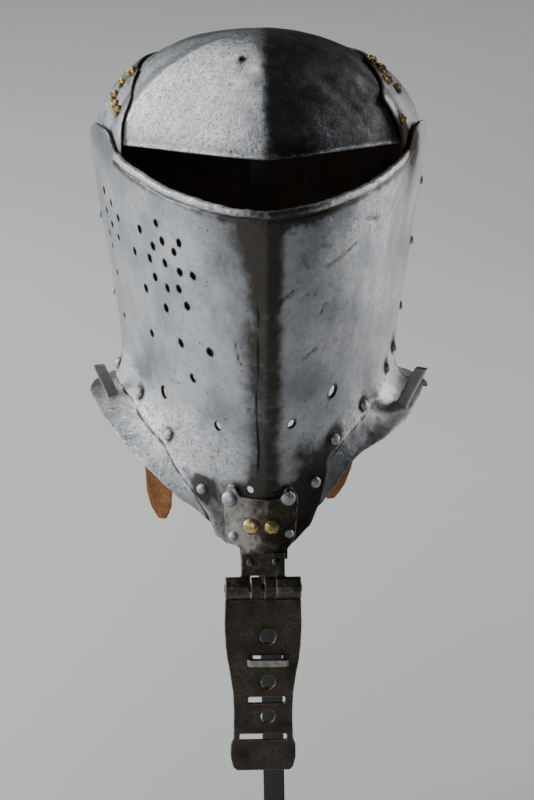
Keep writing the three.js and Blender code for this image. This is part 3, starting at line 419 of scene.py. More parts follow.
def plate(name, points, normal, outside, inside, closed=False, pole=False):
    """A closed plate from a grid of points: its two faces lie at these distances along the normals."""
    rows, cols = points.shape[:2]
    shell = np.concatenate([(points + normal * side[..., None]).reshape(-1, 3) for side in (outside, inside)])
    span, half = cols if closed else cols - 1, rows * cols
    i, j = np.arange(rows - 1), np.arange(span)
    r, c = (g.ravel() for g in np.meshgrid(i, j, indexing="ij"))
    def strip(*corners):
        return np.stack([side * half + i * cols + j % cols for side, i, j in corners], -1)
    quads = [strip((0, r, c), (0, r, c + 1), (0, r + 1, c + 1), (0, r + 1, c)),
             strip((1, r, c), (1, r + 1, c), (1, r + 1, c + 1), (1, r, c + 1))]
    ends = [rows - 1] if pole else [0, rows - 1]
    quads += [strip((0, k, j), (1, k, j), (1, k, j + 1), (0, k, j + 1)) for k in ends]
    if not closed:
        quads += [strip((0, i, k), (1, i, k), (1, i + 1, k), (0, i + 1, k)) for k in (0, span)]
    return mesh_piece(name, placed(shell), np.concatenate(quads).tolist())


def edged(values, margin):
    """Adds a value just inside each end, so that a plate's edge can be rounded there."""
    values = np.asarray(values, float)
    way = math.copysign(margin, values[-1] - values[0])
    return np.r_[values[:1], [values[0] + way], values[1:-1], [values[-1] - way], values[-1:]]


def rounded(shape, wall_thick, chamfer=0.55, cols=True):
    """Distances of a plate's two faces, drawn together at its borders."""
    inset = np.zeros(shape)
    inset[[0, -1], :] = chamfer
    if cols:
        inset[:, [0, -1]] = chamfer
    return -inset, -wall_thick + inset


def cut(piece, cutter):
    """Cuts a closed mesh out of a piece, for good."""
    hole = piece.modifiers.new("cut", "BOOLEAN")
    hole.operation, hole.object, hole.solver = "DIFFERENCE", cutter, "MANIFOLD"
    settle(piece)
    bpy.data.objects.remove(cutter)
    shade(piece)


def settle(piece):
    """Makes a piece's modifiers part of its mesh."""
    shaped = piece.evaluated_get(bpy.context.evaluated_depsgraph_get())
    mesh = bpy.data.meshes.new_from_object(shaped)
    piece.modifiers.clear()
    piece.data = mesh


def punches(points, normal, radii, sides=28, reach=14):
    """Straight round punches along the normals, as one mesh."""
    turn = np.linspace(0, 2 * math.pi, sides, endpoint=False)
    shell, faces = [], []
    for point, way, radius in zip(points, normal, radii):
        side = unit(np.cross(way, (0, 0, 1)))
        lift = np.cross(way, side)
        ring = radius * (np.cos(turn)[:, None] * side + np.sin(turn)[:, None] * lift)
        base = len(shell) * sides
        shell += [point + ring - way * reach, point + ring + way * reach]
        low, after = np.arange(sides), np.arange(1, sides + 1) % sides
        faces += (base + np.stack([low, after, sides + after, sides + low], -1)).tolist()
        faces += [(base + low[::-1]).tolist(), (base + sides + low).tolist()]
    return mesh_piece("punches", placed(np.concatenate(shell)), faces)


def paint(piece, **layers):
    """Finishes that vary over a piece, from 0 to 1 at each vertex."""
    for name, values in layers.items():
        layer = piece.data.attributes.new(name, "FLOAT", "POINT")
        values = np.broadcast_to(values, len(piece.data.vertices))
        layer.data.foreach_set("value", np.clip(values, 0, 1).astype(np.float32))


def dress(piece, slot, *nodes, body="helm"):
    piece.data.materials.clear()
    piece.data.materials.append(FINISHES[slot])
    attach(piece, body)
    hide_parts(*nodes)


# Finishes

class Nodes:
    """Makes and links the nodes of one tree."""

    def __init__(self, tree):
        self.tree = tree

    def join(self, value, socket):
        """Links a value to a socket, or sets it there."""
        if isinstance(value, bpy.types.NodeSocket):
            self.tree.links.new(value, socket)
        else:
            socket.default_value = value

    def node(self, kind, inputs=None, **settings):
        made = self.tree.nodes.new(kind)
        for name, value in settings.items():
            setattr(made, name, value)
        for name, value in (inputs or {}).items():
            self.join(value, made.inputs[name])
        return made

    def out(self, kind, inputs=None, **settings):
        return self.node(kind, inputs, **settings).outputs[0]

    def sums(self, operation, a, b=0, clamp=False):
        return self.out("ShaderNodeMath", {0: a, 1: b}, operation=operation, use_clamp=clamp)

    def times(self, a, *others):
        for other in others:
            a = self.sums("MULTIPLY", a, other)
        return a

    def plus(self, a, b, clamp=False):
        return self.sums("ADD", a, b, clamp)

    def minus(self, a, b):
        return self.sums("SUBTRACT", a, b)

    def most(self, a, b):
        return self.sums("MAXIMUM", a, b)


class Finish(Nodes):
    """A new material, with patterns measured in its piece's own coordinates."""

    def __init__(self, name):
        self.material = bpy.data.materials.new(name)
        self.material.use_nodes = True
        super().__init__(self.material.node_tree)
        self.coords = self.node("ShaderNodeTexCoord").outputs["Object"]

    def surface(self, **values):
        """Sets or links the surface's inputs, and gives the material."""
        inputs = self.tree.nodes["Principled BSDF"].inputs
        for name, value in values.items():
            self.join(value, inputs[name.replace("_", " ").title()])
        return self.material

    def blend(self, share, a, b):
        mix = self.node("ShaderNodeMix", {"Factor": share}, data_type="RGBA")
        for socket, value in ((mix.inputs[6], a), (mix.inputs[7], b)):
            self.join((*value, 1) if isinstance(value, tuple) else value, socket)
        return mix.outputs[2]

    def layered(self, colour, *layers):
        """A colour with others laid over it, each by its share and weight."""
        for share, weight, over in layers:
            colour = self.blend(self.times(share, weight), colour, over)
        return colour

    def ramp(self, value, low, high):
        """0 below low, 1 above high, smooth between."""
        inputs = {"Value": value, "From Min": low, "From Max": high}
        return self.out("ShaderNodeMapRange", inputs, interpolation_type="SMOOTHSTEP")

    def noise(self, size_mm, detail=5, rough=0.6, stretch=None, turn=(0, 0, 0)):
        """Noise whose lumps are about this size; turned and drawn out for streaks and scratches."""
        coords = self.coords
        if stretch:
            inputs = {"Vector": coords, "Rotation": turn, "Scale": stretch}
            coords = self.out("ShaderNodeMapping", inputs, vector_type="TEXTURE")
        inputs = {"Vector": coords, "Scale": 1 / (size_mm * MM), "Detail": detail, "Roughness": rough}
        return self.node("ShaderNodeTexNoise", inputs).outputs["Fac"]

    def painted(self, name):
        return self.node("ShaderNodeAttribute", attribute_name=name).outputs["Fac"]

    def scratches(self, length_mm, low, high):
        """Straight scratches at several slants across the upright faces, 1 on a scratch."""
        total = None
        for slant, twist in ((0.7, 0.2), (-0.85, -0.3), (1.35, 0.5), (-0.25, 0.1)):
            line = self.noise(length_mm, 2, 0.5, (1, 0.8, 0.045), (twist, slant, 0))
            line = self.ramp(line, low, high)
            total = line if total is None else self.most(total, line)
        return total

    def cells(self, pitch_mm, **settings):
        inputs = {"Vector": self.coords, "Scale": 1 / (pitch_mm * MM)}
        return self.node("ShaderNodeTexVoronoi", inputs, **settings).outputs

    def spots(self, pitch_mm, share):
        """Small round pits of uneven sizes; share is the largest radius as a part of the pitch."""
        cells = self.cells(pitch_mm)
        size = self.out("ShaderNodeSeparateColor", {"Color": cells["Color"]})
        return self.ramp(self.minus(self.times(size, share), cells["Distance"]), 0, 0.05)

    def added(self, *terms):
        """Sum of values, each a socket or a pair of socket and weight."""
        total = None
        for term in terms:
            value = self.times(*term) if isinstance(term, tuple) else term
            total = value if total is None else self.plus(total, value)
        return total

    def varied(self, name, ends, *patterns):
        """A painted value varied by weighted patterns, then drawn out between these ends."""
        terms = ((self.minus(pattern, 0.5), weight) for pattern, weight in patterns)
        return self.ramp(self.added(self.painted(name), *terms), *ends)

    def bump(self, height, depth_mm, strength):
        inputs = {"Height": height, "Distance": depth_mm * MM, "Strength": strength}
        return self.out("ShaderNodeBump", inputs)


def steel_finish():
    """Old bright plate: clouded, scuffed and pitted, with brown tarnish and rust where they are painted; on
    some plates the tarnish layer also carries painted shade and a painted dark reflection.
    """
    f = Finish("worn_steel")
    clouds, hammer = f.noise(46, 7, 0.6), f.noise(15, 2, 0.5)
    mottle, grain = f.noise(6, 6, 0.68), f.noise(1.2, 3, 0.6)
    streaks = f.noise(5, 4, 0.6, (1, 1, 9))
    eaten = f.times(f.ramp(f.noise(1.8, 3, 0.6), 0.47, 0.56), f.painted("pitted"))
    pits = f.most(f.most(f.spots(6, 0.18), f.spots(2.4, 0.15)), eaten)
    wear = f.painted("wear")
    scuffs = f.times(f.scratches(11, 0.56, 0.68), wear)
    dulled = f.times(f.ramp(f.noise(3, 5, 0.7), 0.5, 0.68), wear)
    nicks = f.times(f.scratches(7, 0.6, 0.68), wear)
    tarnish = f.varied("tarnish", (0.12, 0.9), (mottle, 0.42), (streaks, 0.2), (clouds, 0.6))
    rust = f.varied("rust", (0.35, 0.75), (mottle, 1.1))
    colour = f.blend(f.ramp(clouds, 0.36, 0.64), (0.28, 0.305, 0.345), (0.54, 0.56, 0.59))
    brown = f.blend(grain, (0.022, 0.018, 0.014), (0.085, 0.07, 0.056))
    colour = f.layered(
        colour,
        (wear, 0.75, (0.68, 0.69, 0.71)),
        (f.ramp(mottle, 0.5, 0.75), 0.35, (0.2, 0.2, 0.215)),
        (dulled, 0.75, (0.19, 0.19, 0.2)),
        (nicks, 0.85, (0.1, 0.1, 0.1)),
        (scuffs, 0.6, (0.85, 0.85, 0.85)),
        (tarnish, 0.94, brown),
        (pits, 0.75, (0.05, 0.04, 0.033)),
        (rust, 1, f.blend(grain, (0.022, 0.012, 0.007), (0.12, 0.062, 0.032))),
    )
    rough = f.added((clouds, 0.18), (streaks, 0.06), (tarnish, 0.12), (dulled, 0.1), (wear, 0.05),
                    (rust, 0.4))
    height = f.added((hammer, 1.3), (mottle, 0.55), (clouds, 0.9), (pits, -0.8), (scuffs, -0.6),
                     (nicks, -0.7), (dulled, -0.7), (grain, rust, 1.6))
    return f.surface(base_color=colour, roughness=f.plus(rough, 0.19, True),
                     metallic=f.minus(1, f.times(rust, 0.8)), normal=f.bump(height, 0.5, 0.55))


def iron_finish():
    """Dark forged iron: pitted brown-black, rubbed bright where it wears, rusty in its corners."""
    f = Finish("dark_iron")
    clouds, mottle, grain = f.noise(18, 6, 0.62), f.noise(3.4, 6, 0.7), f.noise(0.9, 3, 0.6)
    pits = f.times(f.ramp(f.noise(1.5, 3, 0.6), 0.52, 0.62), f.ramp(clouds, 0.4, 0.6))
    wear = f.varied("wear", (0.25, 0.85), (mottle, 0.5))
    rust = f.varied("rust", (0.3, 0.75), (clouds, 0.9))
    colour = f.blend(f.ramp(clouds, 0.3, 0.7), (0.04, 0.032, 0.025), (0.115, 0.095, 0.073))
    colour = f.layered(
        colour,
        (pits, 0.8, (0.015, 0.012, 0.01)),
        (f.scratches(20, 0.67, 0.71), 0.18, (0.24, 0.22, 0.2)),
        (wear, 0.85, (0.5, 0.48, 0.45)),
        (rust, 0.85, f.blend(grain, (0.03, 0.014, 0.007), (0.12, 0.05, 0.02))),
    )
    rough = f.plus(f.added((mottle, 0.28), (rust, 0.35)), 0.26, True)
    height = f.added((mottle, 0.6), (pits, -0.7), (grain, 0.15))
    return f.surface(base_color=colour, roughness=rough, metallic=f.minus(1, f.times(rust, 0.75)),
                     normal=f.bump(height, 0.5, 0.7))


def brass_finish():
    """Dull brass, dark in its hollows."""
    f = Finish("old_brass")
    mottle, clouds = f.noise(2.2, 5, 0.65), f.noise(9, 4, 0.6)
    colour = f.blend(f.ramp(mottle, 0.35, 0.7), (0.78, 0.6, 0.27), (0.27, 0.18, 0.07))
    colour = f.layered(colour, (f.ramp(clouds, 0.5, 0.75), 0.5, (0.84, 0.74, 0.48)))
    return f.surface(base_color=colour, roughness=f.plus(f.times(mottle, 0.3), 0.2), metallic=1,
                     normal=f.bump(mottle, 0.3, 0.5))


def leather_finish():
    """Old tanned leather: orange brown, cracked, darker in patches."""
    f = Finish("old_leather")
    clouds, grain = f.noise(16, 6, 0.62), f.noise(1.4, 5, 0.6)
    creases = f.minus(1, f.ramp(f.cells(2.4, feature="DISTANCE_TO_EDGE")["Distance"], 0, 0.12))
    colour = f.blend(f.ramp(clouds, 0.3, 0.7), (0.3, 0.1, 0.03), (0.62, 0.25, 0.08))
    colour = f.layered(colour, (creases, 0.5, (0.07, 0.03, 0.014)),
                       (f.ramp(grain, 0.55, 0.8), 0.4, (0.55, 0.33, 0.17)))
    height = f.minus(grain, f.times(creases, 0.6))
    return f.surface(base_color=colour, roughness=f.plus(f.times(clouds, 0.3), 0.45),
                     normal=f.bump(height, 0.4, 0.6))


def stand_finish():
    """Satin black paint with a fine grain and a few rubbed marks."""
    f = Finish("black_paint")
    clouds, grain = f.noise(40, 5, 0.6), f.noise(0.8, 3, 0.5)
    colour = f.blend(clouds, (0.026, 0.026, 0.03), (0.05, 0.05, 0.056))
    colour = f.layered(colour, (f.scratches(22, 0.68, 0.72), 0.4, (0.09, 0.09, 0.1)))
    return f.surface(base_color=colour, roughness=f.plus(f.times(clouds, 0.2), 0.3),
                     normal=f.bump(grain, 0.08, 0.4))


FINISHES = dict(steel_plate=steel_finish(), dark_iron=iron_finish(), brass=brass_finish(),
                leather=leather_finish(), stand=stand_finish())


# Plates

def turn_at(points):
    """Signed turn from the keel, of points on the front of the wall."""
    return np.arcsin(np.clip(points[..., 0] / smooth(PLAN, "half", points[..., 2]), -1, 1))


def face_hem(turns, depth=0):
    """Places along the face plate's lower edge, at a depth below its outer side."""
    points, normal = framed(wall, turns, straight(FACE_LOW, "z", turns))
    return points - normal * depth


def crack(points):
    """Depth of the crack beside the keel."""
    x, z, low, high = points[..., 0], points[..., 2], CRACK["z"][0], CRACK["z"][-1]
    along = rise(z - low, 10) * rise(high - z, 30)
    broken = rise(0.9 + 1.2 * lumps(points * (0, 0, 1), 7, 60, 20))
    return bell(x - straight(CRACK, "x", z), CRACK_WIDTH) * along * broken


def scarred(points):
    """1 on the face plate's pitted lines."""
    lines = [near_line(points, wall(*start), wall(*end), width) for start, end, width in SCARS]
    return np.max(lines, axis=0)


def face_plate():
    """Prow, cheeks and ears in one plate, with the rolled lip of the sight, the holes and the old damage."""
    turns = np.r_[np.linspace(FACE_LOW["turn"][0], FACE_LOW["turn"][-1], 226), np.linspace(*CRACK_TURNS, 22)]
    turns = edged(np.unique(turns), 0.004)
    share = np.r_[np.linspace(0, 0.955, 120)[:-1], np.linspace(0.955, 1, 22)]
    share = edged(share, 0.002)
    low, top = straight(FACE_LOW, "z", turns), straight(FACE_TOP, "z", np.abs(turns))
    around = turns[:, None] * (130, 0, 0)
    top = top + 0.8 * lumps(around, 2, 50, 9) + 0.5 * lumps(around, 16, 9, 4)
    z = low + (top - low) * share[:, None]
    points, normal = framed(wall, turns, z)
    outside, inside = rounded(z.shape, FACE_WALL)
    below = np.maximum(top - z, 0)
    roll = np.sqrt(np.maximum(LIP_ROLL**2 - (below - LIP_ROLL) ** 2, 0))
    fade = 1 - rise(np.abs(turns) - SIGHT_CORNER + 0.1, 0.13)
    groove = bell(below - 2 * LIP_ROLL - 1.2, 1.4)
    rough_lip = bell(points[..., 0] - 4, 30) * rise(14 - below, 6)
    corner = near(points, [wall(*EAR_STAIN)], 20)
    worked = 0.6 * lumps(points, 3, 90, 14) + 0.14 * lumps(points, 5, 16, 6)
    uneven = 1 + 0.3 * lumps(points, 4, 40, 7) + 0.4 * lumps(points, 16, 9, 4)
    outside = outside + fade * (0.66 * roll * uneven - 0.8 * groove) + worked
    outside = outside + (0.7 * rough_lip + 1.1 * corner) * lumps(points, 6, 10, 3.5)
    outside = outside - CRACK_DEPTH * crack(points) - 0.25 * scarred(points)
    piece = plate("face_plate_dressed", points, normal, outside, inside + worked)
    turn, z, radius = columns(BREATHS + LACING_HOLES)
    cut(piece, punches(*framed(wall, turn, z), radius))
    mark_face(piece)
    dress(piece, "steel_plate", "face_plate")


def mark_face(piece):
    """Marks of the face plate by the table of its marks: stains, rubbed places, rings round rivets, painted
    shade and a partly painted keel reflection.
    """
    p = helm_points(piece)
    x, z, turn = p[:, 0], p[:, 2], turn_at(p)
    below, flare = straight(FACE_TOP, "z", np.abs(turn)) - z, z - flare_line(turn)
    spread, fine, patches = lumps(p, 8, 60, 8), lumps(p, 9, 14, 3), lumps(p, 21, 130, 30)
    sight = np.abs(turn) < SIGHT_CORNER
    rim = rise(6 - below, 2) * sight
    lip_middle = bell(x - 6, 32) * rise(20 - below + 5 * fine, 12)
    left_rub = rise(x - 48 + 8 * spread, 22) * bell(flare - 14 - 4 * spread, 16)
    left_low = rise(x - 6, 26) * rise(-186 - z + 14 * spread, 30) * (1 - left_rub)
    tip = rise(-222 - z + 6 * spread, 12)
    right_rub = rise(-x - 8, 25) * rise(-172 - z + 16 * spread, 28) * (1 - 0.8 * tip)
    # The keel's dark band is partly brown patina and partly a painted dark reflection of its rounded ridge.
    keel = rise(x + 28 + 4 * spread, 24) * rise(17 + 2 * spread - x, 12)
    rings = [near(p, [wall(turn, z)], radius + 0.9) for turn, z, radius in BREATHS + LACING_HOLES]
    scars, corner = scarred(p), near(p, [wall(*EAR_STAIN)], 22)
    marks = dict(
        keel=keel * rise(below - 4, 12),
        lip=bell(below - 8.6 - 1.4 * fine, 2.6) * sight * (0.75 + 0.5 * spread),
        lip_middle=lip_middle, left_low=left_low, tip=tip,
        # Darker ring round each collar rivet.
        dark_ring=near(p, wall(*columns(COLLAR_RIVETS)), 8.5),
        cloud=near(p, front(*columns(CLOUDED))[0], 15),
        crack=crack(p), scars=scars, corner=corner, inner=inner_side(piece),
        holes=rise(np.max(rings, axis=0) - 0.3, 0.25),
        right_rub=right_rub, left_rub=left_rub, rim=rim, bare_rim=rim * (1 - lip_middle),
        hem=near(p, face_hem(np.outer((-1, 1), np.linspace(0.3, 1.5, 90)).ravel()), 2.2),
    )
    stain = lambda layer: sum(marks[name] * weight for name, weight in FACE_MARKS[layer].items())
    # Painted shade: the wearer's left cheek and the upper face are darkened as if turned from the light; the
    # random patches are real dulling.
    shade_and_dulling = 0.06 + 0.18 * rise(x - 12, 20) + 0.14 * rise(70 - below, 50) + 0.16 * patches
    paint(piece, tarnish=shade_and_dulling + stain("tarnish") + fine * stain("fine_tarnish"),
          rust=stain("rust") + fine * stain("fine_rust"), wear=0.15 - 0.25 * patches + stain("wear"),
          pitted=np.maximum(scars, 0.8 * lip_middle) + corner)


def skull_plate():
    """Low ridged dome over the sight, uneven from the hammer, with one hole near its top."""
    turns = np.linspace(-math.pi, math.pi, 300, endpoint=False)
    along = edged(np.linspace(0, 1, 110), 0.004)
    along = np.r_[along[:1], along[2:]]
    turn, along = np.meshgrid(turns, along)
    points, normal = skull_framed(turn, along)
    outside, inside = rounded(turn.shape, SKULL_WALL, cols=False)
    outside[0], inside[0] = 0, -SKULL_WALL
    worked = 0.6 * lumps(points, 11, 80, 16) + 0.2 * lumps(points, 12, 22, 7)
    ridge = bell(points[..., 0] + 2, 13) * rise(-points[..., 1], 40)
    rim = bell((1 - along) * 105 - 1.8, 1.6) * (1 - rise(np.abs(turn) - 0.9, 0.12))
    dent = near(points, skull(np.array([-0.13]), np.array([0.4])), 8)
    outside = outside + 0.55 * ridge * lumps(points, 15, 30, 8) - dent
    outside = outside + rim * (0.8 + 0.3 * lumps(points, 16, 12, 4)) + worked
    piece = plate("skull_plate_dressed", points, normal, outside, inside + worked, closed=True, pole=True)
    turn, along, radius = columns([SKULL_HOLE])
    cut(piece, punches(*skull_framed(turn, along), radius))
    p = helm_points(piece)
    x = p[:, 0]
    spread, fine = lumps(p, 13, 60, 8), lumps(p, 14, 16, 4)
    near_hole = near(p, [skull(*SKULL_HOLE[:2])], 6)
    border = skull(np.linspace(-SIGHT_CORNER, SIGHT_CORNER, 80), 1)
    edge, rim = near(p, border, 7), near(p, border, 2.6)
    middle = bell(x - 12, 34)
    # Painted shade over some real rust: the wearer's left half, turned from the key lights, is painted
    # darker, browner and less rubbed.
    left_half_shade_and_rust = rise(x + 2 + 4 * fine, 7)
    inner = inner_side(piece, 1)
    tarnish = 0.08 + 0.6 * near_hole + 0.6 * edge * middle * (0.6 + fine) + left_half_shade_and_rust * (0.55 + 0.3 * spread)
    tarnish = tarnish + inner - 0.75 * rim * (1 - inner)
    rust = 0.55 * near_hole + 0.35 * edge * middle * (0.5 + fine) + left_half_shade_and_rust * (0.24 + 0.3 * spread)
    paint(piece, tarnish=tarnish, rust=rust - 0.3 * rim + 0.55 * inner,
          wear=0.8 - 0.65 * left_half_shade_and_rust + 0.7 * rim, pitted=0.7 * edge * middle + 0.35 * left_half_shade_and_rust)
    dress(piece, "steel_plate", "skull_plate")


def band_top(turn):
    """How far up the meridian the band of the back plate reaches."""
    around = np.abs(turn)
    right, left = (straight(BAND_TOP, side, around) for side in ("right", "left"))
    return np.where(turn < 0, right, left)


def on_band(turn, along):
    """Places on the band's outer face, and the way out there."""
    points, normal = skull_framed(turn, along)
    return points + normal * BAND_LIFT, normal


def back_plate():
    """Round back with its neck flange, and the band forward over the ears."""
    turns = np.r_[np.linspace(BAND_START, 1.5, 70), np.linspace(1.5, math.pi, 90)[1:]]
    turns = np.r_[edged(turns, 0.006)[:-2], turns[-1:]]
    turns = np.r_[turns, -turns[:-1][::-1]]
    low = flare_line(turns) - FLANGE_DROP
    share = edged(np.linspace(0, 0.96, 80), 0.003)[:-1]
    z = low + (SKULL_SKIRT_Z - low) * share[:, None]
    points, normal = framed(wall, turns, z)
    points = points - normal * TUCKED
    reach = edged(np.linspace(0, 1, 46), 0.012)[2:]
    along = 1 + (band_top(turns) - 1) * reach[:, None]
    band, lean = on_band(turns, along)
    points, normal = np.r_[points, band], np.r_[normal, lean]
    outside, inside = rounded(points.shape[:2], BACK_WALL, 0.4)
    worked = 0.5 * lumps(points, 17, 110, 18) + 0.12 * lumps(points, 18, 20, 7)
    patch = on_band(np.array([1.05]), np.array([0.93]))[0]
    outside = outside + near(points, patch, 16) * lumps(points, 19, 9, 3.5)
    piece = plate("back_plate_dressed", points, normal, outside + worked, inside + worked)
    cut(piece, block("front_room", (-200, SEAM_Y - 200, -400), (200, SEAM_Y, SKULL_SKIRT_Z - 5)))
    p = helm_points(piece)
    spread = lumps(p, 20, 60, 8)
    corner = near(p, patch, 17)
    rim = np.linspace(BAND_START, 1.6, 40)
    rim = np.r_[-rim, rim]
    edge = near(p, on_band(rim, band_top(rim))[0], 2.6)
    # Darker ring round each rosette.
    dark_ring = near(p, on_band(*columns(ROSETTES))[0], 6.5)
    inner = inner_side(piece)
    paint(piece, tarnish=0.2 + 0.15 * spread + corner + 0.3 * edge + 0.6 * dark_ring + inner,
          rust=1.1 * corner + 0.2 * edge + 0.15 * dark_ring + inner * (0.55 + 0.3 * spread),
          wear=0.35 + 0.2 * spread, pitted=corner)
    dress(piece, "steel_plate", "back_plate")


def block(name, low, high):
    corners = np.stack(np.meshgrid(*zip(low, high), indexing="ij"), -1).reshape(-1, 3)
    faces = [(0, 1, 3, 2), (4, 6, 7, 5), (0, 4, 5, 1), (2, 3, 7, 6), (0, 2, 6, 4), (1, 5, 7, 3)]
    return mesh_piece(name, placed(corners), faces)


def collar(side, sign):
    """Flange tucked under the face plate's lower edge."""
    first, last = COLLAR_EDGE["turn"][0], COLLAR_EDGE["turn"][-1]
    turns = edged(np.linspace(first, last, 114), 0.006)
    share = edged(np.linspace(0, 1, 44), 0.012)
    top = straight(FACE_LOW, "z", sign * turns) + COLLAR_TUCK
    low = flare_line(turns) + straight(COLLAR_EDGE, side, turns)
    z = top + (low - top) * share[:, None]
    points, normal = framed(wall, sign * turns, z)
    points = points - normal * TUCKED
    outside, inside = rounded(z.shape, COLLAR_WALL, 0.45)
    worked = 0.45 * lumps(points, 23, 50, 12)
    piece = plate(f"collar_{side}_dressed", points, normal, outside + worked, inside + worked)
    cut(piece, block("back_room", (-200, SEAM_Y - 0.3, -400), (200, SEAM_Y + 200, 100)))
    p = helm_points(piece)
    spread = lumps(p, 24, 40, 6)
    # A dark line painted on the collar just under the face plate's edge: painted contact shadow, with some
    # dirt.
    seam = near(p, face_hem(sign * np.linspace(first, last, 120), TUCKED), 3.6)
    seam_shadow_and_dirt = rise(seam - 0.3 + 0.3 * spread, 0.55) * (0.8 + 0.5 * spread)
    stained = 0.5 + 0.5 * sign
    inner = 1 - rise(vertex_array(piece, "normal")[:, 2] + 0.25, 0.3)
    tarnish = 0.06 + 0.95 * seam_shadow_and_dirt + stained * (0.22 + 0.35 * spread) + 0.7 * inner
    paint(piece, tarnish=tarnish - 0.5 * edge_wear(piece),
          rust=0.4 * seam_shadow_and_dirt + 0.14 * stained + 0.45 * inner, wear=(0.85 - 0.5 * stained) * (1 - seam_shadow_and_dirt))
    dress(piece, "steel_plate", f"collar_{side}")


# Ironwork

def front(x, z):
    """Places on the front of the wall by width and height."""
    low, high = np.zeros(np.shape(x)), np.full(np.shape(x), 0.6)
    for _ in range(30):
        middle = (low + high) / 2
        short = wall(middle, z)[..., 0] < np.abs(x)
        low, high = np.where(short, middle, low), np.where(short, high, middle)
    return framed(wall, np.where(x < 0, -1, 1) * np.maximum(low, 1e-4), z)


def hinge_bracket():
    """Eared plate on the face plate's tip, down to a narrow tongue."""
    across, share = edged(np.linspace(-1, 1, 70), 0.03), edged(np.linspace(0, 1, 80), 0.015)
    outer = BRACKET["half"][-1] * across
    inner, rim, drop = BRACKET_NOTCH
    top = BRACKET["z"][-1] - drop * (1 - rise(np.abs(outer) - inner, rim - inner))
    z = top + (BRACKET["z"][0] - top) * share[:, None]
    x = straight(BRACKET, "middle", z) + across * straight(BRACKET, "half", z)
    points, normal = front(x, z)
    worked = 0.35 * lumps(points, 31, 26, 5)
    outside, inside = rounded(z.shape, BRACKET_WALL, 0.8)
    outside, inside = outside + BRACKET_LIFT + worked, inside + BRACKET_LIFT
    piece = plate("hinge_bracket_dressed", points, normal, outside, inside)
    p = helm_points(piece)
    right = rise(6 - p[:, 0], 30)
    paint(piece, wear=edge_wear(piece, 4) + 0.25 + 0.4 * right + 0.2 * lumps(p, 34, 14, 3),
          rust=0.28 - 0.2 * right + 0.3 * lumps(p, 33, 30, 8))
    dress(piece, "dark_iron", "hinge_bracket")


def edge_wear(piece, gain=2.2):
    """1 on a piece's outer edges and high spots, 0 in its hollows, from how its surface bends."""
    mesh, co, way = piece.data, vertex_array(piece, "co"), vertex_array(piece, "normal")
    ends = np.empty(len(mesh.edges) * 2, int)
    mesh.edges.foreach_get("vertices", ends)
    a, b = ends.reshape(-1, 2).T
    step = co[b] - co[a]
    length = np.linalg.norm(step, axis=1) + 1e-9
    bend, count = np.zeros(len(co)), np.zeros(len(co))
    for here, sign in ((a, 1), (b, -1)):
        np.add.at(bend, here, -sign * np.sum(step * way[here], -1) / length)
        np.add.at(count, here, 1)
    return np.clip(gain * bend / np.maximum(count, 1), 0, 1)


def worked_copy(name, voxel, relax, rough, seed):
    """A copy of a node's solid with its edges rounded and its faces uneven."""
    piece = node_copy(name)
    grid = piece.modifiers.new("grid", "REMESH")
    grid.mode, grid.voxel_size = "VOXEL", voxel * MM
    soft = piece.modifiers.new("soft", "SMOOTH")
    soft.factor, soft.iterations = 0.5, relax
    settle(piece)
    co = vertex_array(piece, "co")
    co = co + vertex_array(piece, "normal") * (rough * MM * lumps(co / MM, seed, 26, 3))[:, None]
    piece.data.vertices.foreach_set("co", co.ravel())
    piece.data.update()
    shade(piece, 60)
    return piece


def forged(name, rust, shine=0, voxel=0.6, body="helm"):
    """Forged ironwork, edges rounded and faces uneven; shine is how bright it is rubbed."""
    piece = worked_copy(name, voxel, relax=6, rough=0.14, seed=41)
    p = helm_points(piece)
    paint(piece, wear=edge_wear(piece) + shine * (1 + 0.4 * lumps(p, 42, 18, 4)),
          rust=rust + 0.25 * lumps(p, 43, 30, 5))
    dress(piece, "dark_iron", name, body=body)


# Rivets and rosettes

HEAD_SIZES = ("Head Radius", "Head Height", "Petal Depth", "Unevenness")
PETALS = 6


